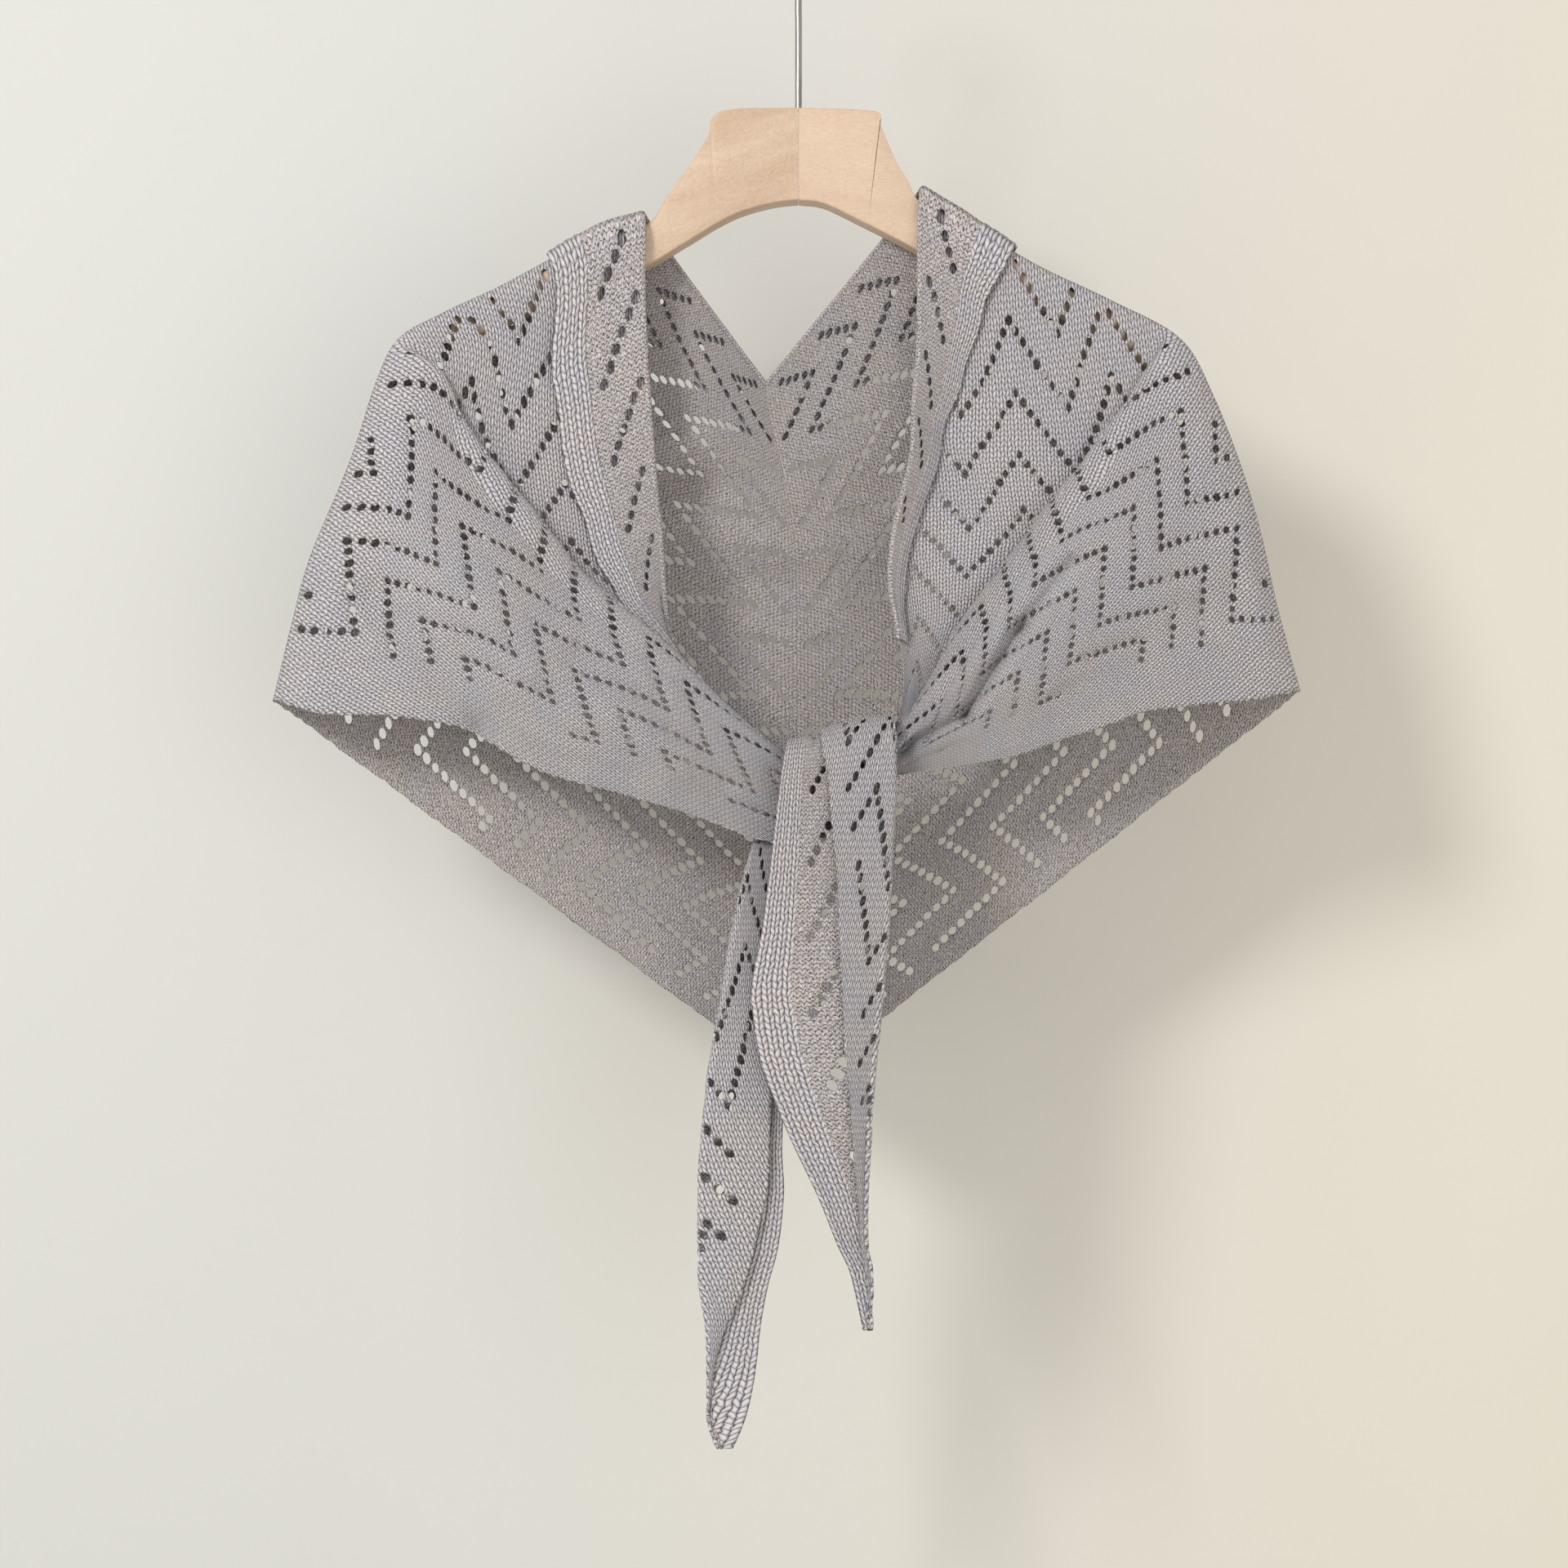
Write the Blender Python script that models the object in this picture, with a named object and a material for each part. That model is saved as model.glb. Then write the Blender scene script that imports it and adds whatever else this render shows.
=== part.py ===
"""A hand-knitted lace triangle shawl on a wooden hanger, its two ends tied in front.

Lengths are in millimetres and turned into metres as each point is placed. The origin is the
inside top of the hanger's hook. Across runs to the viewer's right, down runs below the origin
and depth runs away from the viewer. Across and down are given as they look from the front, at
the scale of the hanger's middle plane, and place() brings a point to its true position.

The cloth is one triangle. Its flat cut is measured along the long neck edge from the spine (u)
and across from the neck edge towards the hem (v), and each stretch of the cloth knows which
part of that cut it shows, so the lace lies in one pattern over all of them.
"""

import math
from collections import namedtuple

import bpy
import numpy as np
from mathutils import Vector
from mathutils.geometry import delaunay_2d_cdt

MM = 0.001

# Where the shawl is seen from, for sizes given as seen
EYE_ACROSS = -8.0
EYE_DOWN = 495.0
EYE_AWAY = 1450.0

# Cloth
WALL = 1.6  # thickness of the knitting
SEAM = 0.4  # clear space where two stretches meet
COLLAR_STEP = 3.2  # from the middle of a panel to the middle of the collar turned over it
PLEAT_START = 10.0  # cloth taken across by a pleat where it opens out flat

# The flat cut: half of the neck edge, the depth at the spine, and the collar's width
HALF_EDGE = 880.0
CUT_DEPTH = 500.0
COLLAR_WIDTH = 50.0

# Lace: rows of eyelets in zigzags, tips pointing away from the spine
LACE_REPEAT = 31.0  # from one zigzag to the next, along u
LACE_PERIOD = 56.0  # from one tip to the next, across v
LACE_STEPS = 8  # eyelets from a tip to the next valley
EYELET_ALONG = 5.0  # each eyelet lies this much further back along u than the last
EYELET_LONG = 5.6
EYELET_WIDE = 5.0
LACE_START = 16.0  # the first tips, from the neck edge
LACE_EDGE = 20.0  # no eyelets nearer the neck edge than this
HEM_MARGIN = 36.0  # plain knitting along the hem
EYELET_SIDES = 4
EYELET_CLEAR = 1.2  # from an eyelet to the nearest other point of the cloth
CUT_STEPS = (-5, 0, 5)  # the eyelets that are cut, counted from each tip

# Border of knitted ribs along the neck edge
BORDER_WIDTH = 16.0
BORDER_RIBS = 4
RIB_HEIGHT = 0.7
RIB_START = 1 - BORDER_WIDTH / COLLAR_WIDTH

# Hanger
ARM_THICK = 16.0
ARM_BEND = 0.16  # how far an arm comes forward for each millimetre across
ARM_TIP_ACROSS = 208.0
ARM_DROP = 3.0  # from the cloth's top line down to the wood
ARM_TIP_HIGH = 20.0
ARM_BOW = 4.0  # how far the arm's lower edge bows up between the yoke and its tip
ARM_SECTIONS = 22
YOKE_EDGE = 1.2  # rounding of the wood's edges where they show
ARM_EDGE = 4.5  # and along the top under the cloth
YOKE_SHOWN = 68.0  # how far out from the middle the edges stay sharp
YOKE_TAPER = 12.0  # and how far on they are fully round
WRAP = 12.0  # cloth's bend over an arm
WIRE = 3.8
HOOK_RADIUS = 21.9
SHANK_TOP = 62.0
HOOK_SECTIONS = 34
WIRE_SIDES = 8
WOOD_TOP = 124.06  # true height of the wood's flat top
WIRE_SEAT = 0.3  # clear space under the wire

Crease = namedtuple("Crease", "across1 down1 across2 down2 wide rise")
Row = namedtuple("Row", "down border fold free depth gap slope")

# Outlines of each side, as seen: the shoulder and side silhouette, the turned collar's fold,
# the ridge of the big pleat, and the front hem. The silhouette starts at the neck.
LEFT = {
    "side": [(-86, 183), (-107, 190.5), (-138, 207), (-166, 222), (-196, 236), (-220, 250),
             (-232, 273), (-247, 318), (-269, 371), (-279, 408), (-289, 449)],
    "fold": [(-86, 183), (-86, 220), (-84, 259), (-79, 325), (-76, 354), (-72, 408),
             (-62, 436), (-32, 464), (6, 489)],
    "ridge": [(-220, 250), (-196, 264), (-178, 302), (-148, 341), (-118, 378), (-82, 410),
              (-44, 447), (-18, 470), (8, 491)],
    "hem": [(-289, 449), (-263, 456), (-219, 458), (-186, 464), (-162, 477), (-134, 491),
            (-95, 501), (-57, 513), (-16, 527), (9, 527)],
}
RIGHT = {
    "side": [(68, 169), (87, 182), (105, 194), (134, 211), (172, 229), (210, 250),
             (228, 281), (244, 322), (254, 356), (264, 400), (276, 444)],
    "fold": [(68, 169), (67, 200), (66, 251), (63, 284), (62, 310), (56, 337), (51, 360),
             (50, 385), (54, 408), (57, 436), (54, 458), (45, 477)],
    "ridge": [(210, 250), (190, 276), (161, 315), (141, 338), (115, 371), (89, 408),
              (66, 448), (54, 465), (44, 480)],
    "hem": [(276, 444), (246, 449), (197, 454), (172, 462), (148, 470), (121, 479), (98, 484),
            (74, 487), (44, 492)],
}
SPINE = [(-18, 274), (-16, 290), (-11, 312), (-4, 348), (-1, 400), (-1, 661)]

# Depth down the spine, and of the edge that back and front share, by share of the length
SPINE_DEPTH = [(0, 6.5), (0.12, 6), (0.3, 14), (0.45, 22), (0.7, 24), (1, 18)]
EDGE_DEPTH = {
    "left": [(0, -13.8), (0.4, -34.5), (0.7, -33), (1, -24)],
    "right": [(0, -11), (0.45, -33.5), (0.7, -33), (1, -24)],
}
# Bend of the cloth round that edge, across and in depth
BEND_ACROSS = [(0, WRAP), (0.38, WRAP), (0.55, 40), (1, 46)]
BEND_DEPTH = [(0, WRAP), (0.38, WRAP), (0.55, 22), (1, 24)]
SHOULDER_SHARE = 0.43  # where the arm ends along that edge

# The big pleat, by share of the way from the side to the knot
PLEAT_SWING = [(0, 0), (0.06, 2), (0.3, 12), (0.75, 12), (1, 5)]
PLEAT_DEPTH = [(0, 0), (0.06, 5), (0.3, 15), (0.75, 15), (1, 11)]
KNOT_DEPTH = -60.0
BELLY = 9.0
PANEL_SHARE = (0.36, 0.52)  # where the pleat starts and ends, by share across the panel

# Where a front's cloth lies in the flat cut, above and below the pleat: a length there is
# start + along * s + across * w + twist * s * w + bow * s * s, with w from one edge of that
# part to the other. Above the pleat v runs from the width that is turned over as a collar to
# where the pleat starts, both by s.
Lay = namedtuple("Lay", "start along across twist bow")
ABOVE_U = Lay(125, 194, 66, -38, 100)
TURNED_V = {
    "left": [(0, COLLAR_WIDTH), (1, COLLAR_WIDTH)],
    "right": [(0, COLLAR_WIDTH), (0.4, COLLAR_WIDTH), (0.79, 20), (1, 20)],
}
PLEAT_V = [(0, 190), (0.5, 98), (0.7, 74), (1, 68)]
BELOW_U = Lay(201, 331, 106, -68, -24)
BELOW_V = Lay(194, -19, 148, -86, -35)
SIDE_U = [(0, 125), (0.42, 196), (1, 307)]  # u along the side, by share of its length

# How far the turned collar reaches over the panel beneath it
COLLAR_REACH = {
    "left": [(0, 0.38), (0.2, 0.52), (0.4, 0.66), (0.52, 0.78), (0.6, 0.9)],
    "right": [(0, 0.39), (0.15, 0.31), (0.28, 0.25), (0.4, 0.2), (0.6, 0.17), (0.79, 0.17)],
    "back": [(-1, 0.155), (-0.5, 0.13), (0, 0.125), (0.5, 0.13), (1, 0.165)],
}
COLLAR_END = {"left": 0.6, "right": 0.79}
COLLAR_OUT = {"left": -1, "right": 1, "back": 1}  # which way each panel's outside lies
COLLAR_LIFT = 1.2  # how far the flap stands up between its fold and its edge

UNDER_COLLAR = 0.15  # share of the back's depth that lies under its collar

# Soft creases, as seen, with their rise towards the viewer
FRONT_CREASES = [
    Crease(-236, 392, -174, 463, 11, -6),
    Crease(-174, 463, -130, 490, 9, -4),
    Crease(-214, 352, -150, 430, 16, 4),
    Crease(-160, 400, -70, 486, 13, 4),
    Crease(-120, 424, -40, 492, 8, -3),
    Crease(150, 372, 122, 409, 5, -6),
    Crease(122, 409, 92, 457, 4.5, -11),
    Crease(92, 457, 56, 476, 4, -8),
    Crease(138, 362, 80, 438, 9, 5),
    Crease(214, 330, 130, 436, 16, 4),
    Crease(236, 392, 140, 452, 12, -4),
]
BACK_CREASES = [
    Crease(-80, 312, -18, 294, 12, 10),
    Crease(-18, 294, 40, 272, 14, 6),
    Crease(-80, 330, 12, 326, 9, -6),
    Crease(-74, 350, 10, 366, 13, 5),
    Crease(-40, 388, 58, 376, 12, -4),
    Crease(34, 334, 74, 308, 14, -5),
    Crease(-150, 360, -60, 420, 18, 4),
    Crease(70, 420, 150, 350, 18, 4),
    Crease(-120, 560, -40, 600, 16, 3),
    Crease(60, 560, 120, 500, 16, 3),
]

# The tied ends, each a band folded lengthwise: its border, fold and free edge across
KNOT_WRAP = [
    Row(503, -1, 47, 24, -47, 3.0, 0),
    Row(490, -2, 49, 22, -45, 3.0, 2),
    Row(476, -3, 51.6, 18, -46, 3.2, 6),
    Row(465, -4, 52.4, 14, -53, 3.6, 11),
    Row(461, -5, 52.4, 13, -65, 4.0, 12),
    Row(462, -6, 53, 13, -78, 4.0, 12),
    Row(471, -8, 54, 13, -87, 4.4, 10),
    Row(488, -10, 54, 16, -90.5, 5.0, 5),
    Row(508, -12, 54, 18, -90.5, 5.6, 1),
    Row(529, -14, 53.5, 20, -88, 6.0, 0),
]
RIGHT_TAIL = [
    Row(529.6, -14, 53.5, 20, -88, 6.0, 0),
    Row(552, -17, 52, 21.5, -85, 6.2, 0),
    Row(580, -21, 50, 23, -83, 6.4, 0),
    Row(607, -26, 47.5, 24, -82, 6.4, 0),
    Row(628, -24.5, 45.5, 25.5, -81, 6.2, 0),
    Row(651, -20, 43.5, 27, -81, 6.0, 0),
    Row(687, -6, 40.5, 30, -80, 5.4, 0),
    Row(723, 11, 39, 33, -80, 4.6, 0),
    Row(748, 21, 38.8, 34.5, -79, 4.0, 0),
    Row(763, 28, 42, 37, -79, 3.4, 0),
    Row(780, 32, 42, 38.5, -78, 2.9, 0),
    Row(796, 35.5, 41.5, 39.5, -78, 2.6, 0),
]
LEFT_TAIL = [
    Row(503.3, 8, -15, 2, -48, 4.0, 0),
    Row(520, 3, -22, 0, -52, 4.6, 0),
    Row(536, 0, -28, -4, -61, 5.2, 0),
    Row(560, -1, -34, -8, -63, 6.0, 0),
    Row(607, -3, -43, -12, -64, 7.0, 0),
    Row(650, -7, -50, -15, -65, 7.4, 0),
    Row(694, -9, -54.5, -16, -66, 7.2, 0),
    Row(720, -8, -56, -18, -67, 6.8, 0),
    Row(749, -11, -56, -24, -68, 6.0, 0),
    Row(772, -17, -55, -31, -68, 5.2, 0),
    Row(794, -21, -52, -40, -68, 4.2, 0),
    Row(813, -23, -51, -46, -68, 3.2, 0),
    Row(832, -26, -51.5, -48.5, -68, 2.6, 0),
    Row(847, -30, -51, -48.5, -67, 2.5, 0),
    Row(861, -36, -46, -43.5, -67, 2.5, 0),
]
TAIL_SHARE = (0.56, 0.66)  # where the fold starts and ends, by share across the band

# The bundle inside the knot: centre, half height and half depth at each place across
KNOT_CORE = [
    (10.5, 507, 17, 7.5), (14, 505, 20, 9), (22, 499, 21, 9.5),
    (32, 491, 18, 9.5), (39, 484, 14, 9), (42.5, 479, 10, 7.5),
]
CORE_DEPTH = -70.0
CORE_SIDES = 16

# The visible yoke of the hanger, from its middle out, as seen: top edge and lower edge
YOKE_LEFT = {
    "top": [(0, 122), (-43, 124), (-50, 138), (-59, 152), (-71, 168), (-83, 185)],
    "low": [(0, 173), (-13, 174.5), (-30, 179), (-44, 185.5), (-63, 197), (-86, 210)],
}
YOKE_RIGHT = {
    "top": [(0, 122), (42, 124), (45, 131), (53, 150), (60, 162), (67, 174)],
    "low": [(0, 173), (14, 175), (33, 184), (53, 194), (66, 201), (86, 212)],
}

# Where the cloth's points are taken, by share along (s) and across (t) each stretch
FRONT_S = [0, 0.004, 0.012, 0.024, 0.042, 0.08, 0.14, 0.21, 0.3, 0.4, 0.5, 0.6, 0.7, 0.79,
           0.87, 0.94, 1]
BACK_S = [0, 0.14, 0.28, 0.42, 0.55, 0.67, 0.77, 0.84, 0.9, 0.94, 0.965, 0.985, 1]
OVER_T = [0, 0.02, 0.05, 0.09, 0.14, 0.21, 0.29]
BELOW_T = [0.55, 0.6, 0.67, 0.75, 0.83, 0.91, 0.965, 1]
PLEAT_LINES = 11
COLLAR_T = [0, 0.035, 0.07, 0.105, 0.14, 0.25, 0.4, 0.55]
TAIL_T = [0, 0.07, 0.15, 0.27, 0.4, 0.5]

# Where the lace is cut, by the same shares: from and to along the stretch, and across it
Patch = namedtuple("Patch", "s_from s_to t_from t_to")
BACK_LACE = Patch(0.03, 0.93, 0.16, 0.985)
BELOW_LACE = Patch(0.12, 0.8, PANEL_SHARE[1] + 0.03, 0.985)
ABOVE_LACE = {
    "left": Patch(0.1, 0.55, 0.3, PANEL_SHARE[0] - 0.02),
    "right": Patch(0.1, 0.55, 0.17, PANEL_SHARE[0] - 0.02),
}
TAIL_LACE = Patch(0.03, 0.85, 0.2, TAIL_SHARE[0] - 0.04)

# Rough size of each stretch in millimetres, along and across, for even triangles
Size = namedtuple("Size", "along across")
BACK_SIZE = Size(270, 400)
FRONT_SIZE = Size(310, 300)
SIDE_COLLAR_SIZE = Size(190, 60)
BACK_COLLAR_SIZE = Size(150, 60)
TAIL_SIZE = Size(300, 110)

# The tied ends as solids: the stretch of the neck edge that each holds, and its sections
End = namedtuple("End", "name rows first_u last_u sections patches")
ENDS = [
    End("knot_wrap", KNOT_WRAP, 560, 590, 15, []),
    End("tail_right", RIGHT_TAIL, 590, 872, 17, [TAIL_LACE]),
    End("tail_left", LEFT_TAIL, 570, 872, 20, [TAIL_LACE]),
]
TAIL_FRONT_T = [0.75, 0.87, 1]
FOLD_LINES = 6

GREY = (0.405, 0.390, 0.402)
WOOD = (0.80, 0.63, 0.47)
STEEL = (0.52, 0.52, 0.50)


def clear_scene():
    for item in list(bpy.data.objects):
        bpy.data.objects.remove(item, do_unlink=True)


def line(points, steps=12):
    """A smooth line through the points, read by the share of its length."""
    p = np.array(points, float)
    ends = np.vstack([2 * p[0] - p[1], p, 2 * p[-1] - p[-2]])
    w = np.linspace(0, 1, steps, endpoint=False)[:, None]
    runs = []
    for a, b, c, d in zip(ends, ends[1:], ends[2:], ends[3:]):
        bend = (2 * a - 5 * b + 4 * c - d) * w**2 + (3 * b - a - 3 * c + d) * w**3
        runs.append(0.5 * (2 * b + (c - a) * w + bend))
    fine = np.vstack(runs + [p[-1:]])
    length = np.concatenate([[0], np.cumsum(np.linalg.norm(np.diff(fine, axis=0), axis=1))])

    def at(share):
        where = np.clip(share, 0, 1) * length[-1]
        return np.stack([np.interp(where, length, column) for column in fine.T], axis=-1)

    at.length = length[-1]
    return at


def eased(stops, share):
    """A value that runs smoothly through (share, value) stops."""
    where, value = np.array(stops, float).T
    i = np.clip(np.searchsorted(where, share, side="right") - 1, 0, len(where) - 2)
    w = np.clip((share - where[i]) / (where[i + 1] - where[i]), 0, 1)
    w = w * w * (3 - 2 * w)
    return value[i] + (value[i + 1] - value[i]) * w


def place(across, down, depth):
    """The true position, in metres, of a point that is seen across and down."""
    k = (EYE_AWAY + depth) / EYE_AWAY
    x = EYE_ACROSS + (across - EYE_ACROSS) * k
    z = -(EYE_DOWN + (down - EYE_DOWN) * k)
    return np.stack([x, depth, z], axis=-1) * MM


def creased(creases, across, down):
    """How far the creases bring each point towards the viewer."""
    rise = np.zeros_like(across)
    for c in creases:
        run = np.array([c.across2 - c.across1, c.down2 - c.down1], float)
        w = ((across - c.across1) * run[0] + (down - c.down1) * run[1]) / (run @ run)
        w = np.clip(w, 0, 1)
        off = np.hypot(across - c.across1 - w * run[0], down - c.down1 - w * run[1])
        rise += c.rise * np.exp(-((off / c.wide) ** 2))
    return rise


def bend_round(distance, across, depth):
    """How far the cloth has come round an edge of that bend, at that distance from it."""
    w = np.clip(distance / across, 0, 1)
    return depth * (1 - (1 - w) ** 2.6) ** (1 / 2.6)


class Front:
    """A front, from the shoulder and side to the knot, with the big pleat across it.

    s runs from the side to the knot and t from the collar's fold to the hem.
    """

    def __init__(self, side):
        shape = {"left": LEFT, "right": RIGHT}[side]
        self.side = side
        self.lines = {name: line(points) for name, points in shape.items()}

    def edge_share(self, t):
        """The share of the side line at t, where the pleat has opened out flat."""
        lead = 0.75 * PLEAT_START / self.lines["side"].length
        tail = 0.25 * PLEAT_START / self.lines["side"].length
        stops = [0, *PANEL_SHARE, 1]
        return np.interp(t, stops, [0, SHOULDER_SHARE - lead, SHOULDER_SHARE + tail, 1])

    def seen(self, s, t):
        """Across and down at (s, t), and how far into the pleat the point lies."""
        fold, ridge, hem = (self.lines[k](s) for k in ("fold", "ridge", "hem"))
        way = hem - fold
        way = way / np.linalg.norm(way, axis=-1, keepdims=True)
        fold = fold + way * (COLLAR_STEP / 2 + WALL / 2)
        swing = eased(PLEAT_SWING, s)[..., None]
        begin = ridge + way * (swing - 0.75 * PLEAT_START)
        end = begin + way * PLEAT_START
        first, last = PANEL_SHARE
        under = np.clip(t / first, 0, 1)[..., None]
        into = np.clip((t - first) / (last - first), 0, 1)[..., None]
        over = np.clip((t - last) / (1 - last), 0, 1)[..., None]
        at = fold + (begin - fold) * under
        at = at + (end - begin) * into + way * swing * np.sin(2 * math.pi * into)
        return at + (hem - end) * over, into[..., 0], over[..., 0]

    def __call__(self, s, t):
        s, t = np.broadcast_arrays(np.asarray(s, float), np.asarray(t, float))
        at, into, over = self.seen(s, t)
        start, _, _ = self.seen(np.zeros_like(s), t)
        share = self.edge_share(t)
        edge = self.lines["side"](share)
        at = at + (edge - start) * ((1 - s) ** 4)[..., None]
        away = np.linalg.norm(at - edge, axis=-1)
        bend = bend_round(away, eased(BEND_ACROSS, share), eased(BEND_DEPTH, share))
        depth = eased(EDGE_DEPTH[self.side], share) - SEAM / 2 - bend
        near_knot = np.clip(s, 0, 1) ** 1.6
        depth = depth * (1 - near_knot) + KNOT_DEPTH * near_knot
        depth = depth - eased(PLEAT_DEPTH, s) * into
        depth = depth - BELLY * np.sin(math.pi * over) * np.sin(math.pi * s) ** 2
        front_only = np.clip((away - 6) / 20, 0, 1) * (over > 0) * np.clip(over * 8, 0, 1)
        depth = depth - creased(FRONT_CREASES, at[..., 0], at[..., 1]) * front_only
        return place(at[..., 0], at[..., 1], depth)

    def flat(self, s, t):
        """Where (s, t) lies in the flat cut."""
        s, t = np.broadcast_arrays(np.asarray(s, float), np.asarray(t, float))
        first, last = PANEL_SHARE
        above = np.clip(t / first, 0, 1)
        into = np.clip((t - first) / (last - first), 0, 1)
        below = np.clip((t - last) / (1 - last), 0, 1)
        v = np.interp(s, *np.transpose(TURNED_V[self.side])) * (1 - above)
        v = v + np.interp(s, *np.transpose(PLEAT_V)) * above
        u = laid(ABOVE_U, s, above) * (1 - into) + laid(BELOW_U, s, below) * into
        return u, v * (1 - into) + laid(BELOW_V, s, below) * into


class Back:
    """The back, from the left side (s = -1) past the spine to the right side (s = 1)."""

    def __init__(self, fronts):
        self.fronts = fronts
        self.spine = line(SPINE)

    def __call__(self, s, t):
        s, t = np.broadcast_arrays(np.asarray(s, float), np.asarray(t, float))
        middle = self.spine(t)
        seam_down = COLLAR_STEP / 2 + WALL / 2
        at = np.zeros(s.shape + (2,))
        depth = np.zeros(s.shape)
        spine_depth = eased(SPINE_DEPTH, t)
        for name, sign in (("left", -1), ("right", 1)):
            out = np.clip(sign * s, 0, 1)
            edge = self.fronts[name].lines["side"](t)
            spot = middle + (edge - middle) * out[..., None]
            spot[..., 1] += seam_down * (1 - t) ** 8 * (1 - out**6)
            away = np.linalg.norm(spot - edge, axis=-1)
            bend = bend_round(away, eased(BEND_ACROSS, t), eased(BEND_DEPTH, t))
            far = eased(EDGE_DEPTH[name], t) + SEAM / 2 + bend
            w = out**2
            here = spine_depth * (1 - w) + far * w
            inner = np.clip((away - 4) / 20, 0, 1) * np.clip((t - UNDER_COLLAR) / 0.12, 0, 1)
            here = here - creased(BACK_CREASES, spot[..., 0], spot[..., 1]) * inner
            mine = sign * s >= 0
            at[mine] = spot[mine]
            depth[mine] = here[mine]
        return place(at[..., 0], at[..., 1], depth)

    def flat(self, s, t):
        s, t = np.broadcast_arrays(np.asarray(s, float), np.asarray(t, float))
        u = s * np.interp(t, *np.transpose(SIDE_U))
        return u, COLLAR_WIDTH + (cut_depth(u) - COLLAR_WIDTH) * t


class Collar:
    """The neck edge turned over a panel: a loop at the fold, then a flap moved out from it."""

    LOOP = 0.14  # share across that the loop takes

    def __init__(self, panel, reach, out, end, panel_span):
        self.panel, self.reach, self.out, self.end = panel, reach, out, end
        self.panel_span = panel_span

    def __call__(self, s, t):
        s, t = np.broadcast_arrays(np.asarray(s, float), np.asarray(t, float))
        where = s * self.end
        turn = np.clip(t / self.LOOP, 0, 1)
        flap = np.clip((t - self.LOOP) / (1 - self.LOOP), 0, 1)
        reach = eased(self.reach, where) * self.panel_span
        on = self.panel(where, reach * flap)
        normal = normals(self.panel, where, reach * flap) * self.out
        along = unit(self.panel(where + 1e-3, reach * flap) - self.panel(where - 1e-3, reach * flap))
        inward = self.panel(where, reach * flap + 0.01) - on
        inward = unit(inward - along * (inward * along).sum(axis=-1, keepdims=True))
        radius = COLLAR_STEP / 2 * MM
        turned = turn * math.pi
        loop_out = radius * (1 - np.cos(turned))
        loop_in = -radius * np.sin(turned) - SEAM * MM * (1 - turn)
        lift = COLLAR_LIFT * MM * np.sin(math.pi * flap)
        return on + normal * (loop_out + lift)[..., None] + inward * loop_in[..., None]

    def flat(self, s, t):
        u, width = self.panel.flat(s * self.end, np.zeros_like(np.asarray(t, float) + s))
        return u, width * (1 - t)


class Band:
    """A folded band: t runs from its border edge round the fold to its free edge."""

    def __init__(self, rows, first_u, last_u):
        self.rows = line([(r.down, r.depth, r.border, r.fold, r.free, r.gap, r.slope)
                          for r in rows])
        self.first_u, self.last_u = first_u, last_u

    def __call__(self, s, t):
        s, t = np.broadcast_arrays(np.asarray(s, float), np.asarray(t, float))
        down, depth, border, fold, free, gap, slope = np.moveaxis(self.rows(s), -1, 0)
        step = 0.004
        ahead, behind = self.rows(s + step), self.rows(s - step)
        way = np.stack([ahead[..., 0] - behind[..., 0], ahead[..., 1] - behind[..., 1]], -1)
        way = way / np.linalg.norm(way, axis=-1, keepdims=True)
        first, last = TAIL_SHARE
        radius = gap / 2
        side = np.sign(fold - border)
        hinge = fold - side * (radius + WALL / 2)
        behind_part = np.clip(t / first, 0, 1)
        turn = np.clip((t - first) / (last - first), 0, 1) * math.pi
        front_part = np.clip((t - last) / (1 - last), 0, 1)
        across = border + (hinge - border) * behind_part
        across = across + side * radius * np.sin(turn) + (free - hinge) * front_part
        raised = radius * (1 - np.cos(turn)) + 1.5 * np.sin(math.pi * front_part) * (gap / 6)
        curl = 2.0 * (1 - behind_part) ** 3 * np.clip(gap / 6, 0, 1)
        raised = raised + curl
        lower = slope * np.clip((fold - across) / (fold - border), 0, 1)
        return place(across, down + lower + raised * way[..., 1], depth - raised * way[..., 0])

    def flat(self, s, t):
        u = self.first_u + (self.last_u - self.first_u) * np.asarray(s, float)
        u, t = np.broadcast_arrays(u, np.asarray(t, float))
        return u, cut_depth(u) * t


def laid(lay, s, w):
    """A length in the flat cut, by the shares along and across a part of a front."""
    return lay.start + lay.along * s + lay.across * w + lay.twist * s * w + lay.bow * s * s


def cut_depth(u):
    """The cut's depth from the neck edge to the hem, at u from the spine."""
    return CUT_DEPTH * (1 - np.abs(u) / HALF_EDGE)


def unit(v):
    return v / np.maximum(np.linalg.norm(v, axis=-1, keepdims=True), 1e-12)


def normals(surface, s, t, step=1e-3):
    along = surface(s + step, t) - surface(s - step, t)
    over = surface(s, t + step) - surface(s, np.maximum(t - step, 0))
    return unit(np.cross(along, over))


def eyelets(u_low, u_high):
    """Centres of the eyelets to cut in the flat cut: three in each turn of a zigzag."""
    found = []
    for zigzag in range(math.floor(u_low / LACE_REPEAT) - 1, math.ceil(u_high / LACE_REPEAT) + 3):
        for tip in range(0, 10):
            for i in CUT_STEPS:
                u = zigzag * LACE_REPEAT - EYELET_ALONG * abs(i)
                v = LACE_START + LACE_PERIOD * tip + LACE_PERIOD / 2 / LACE_STEPS * i
                if u > 4 and v > LACE_EDGE and u_low <= u <= u_high:
                    found.append((u, v))
    return np.array(found)


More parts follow.
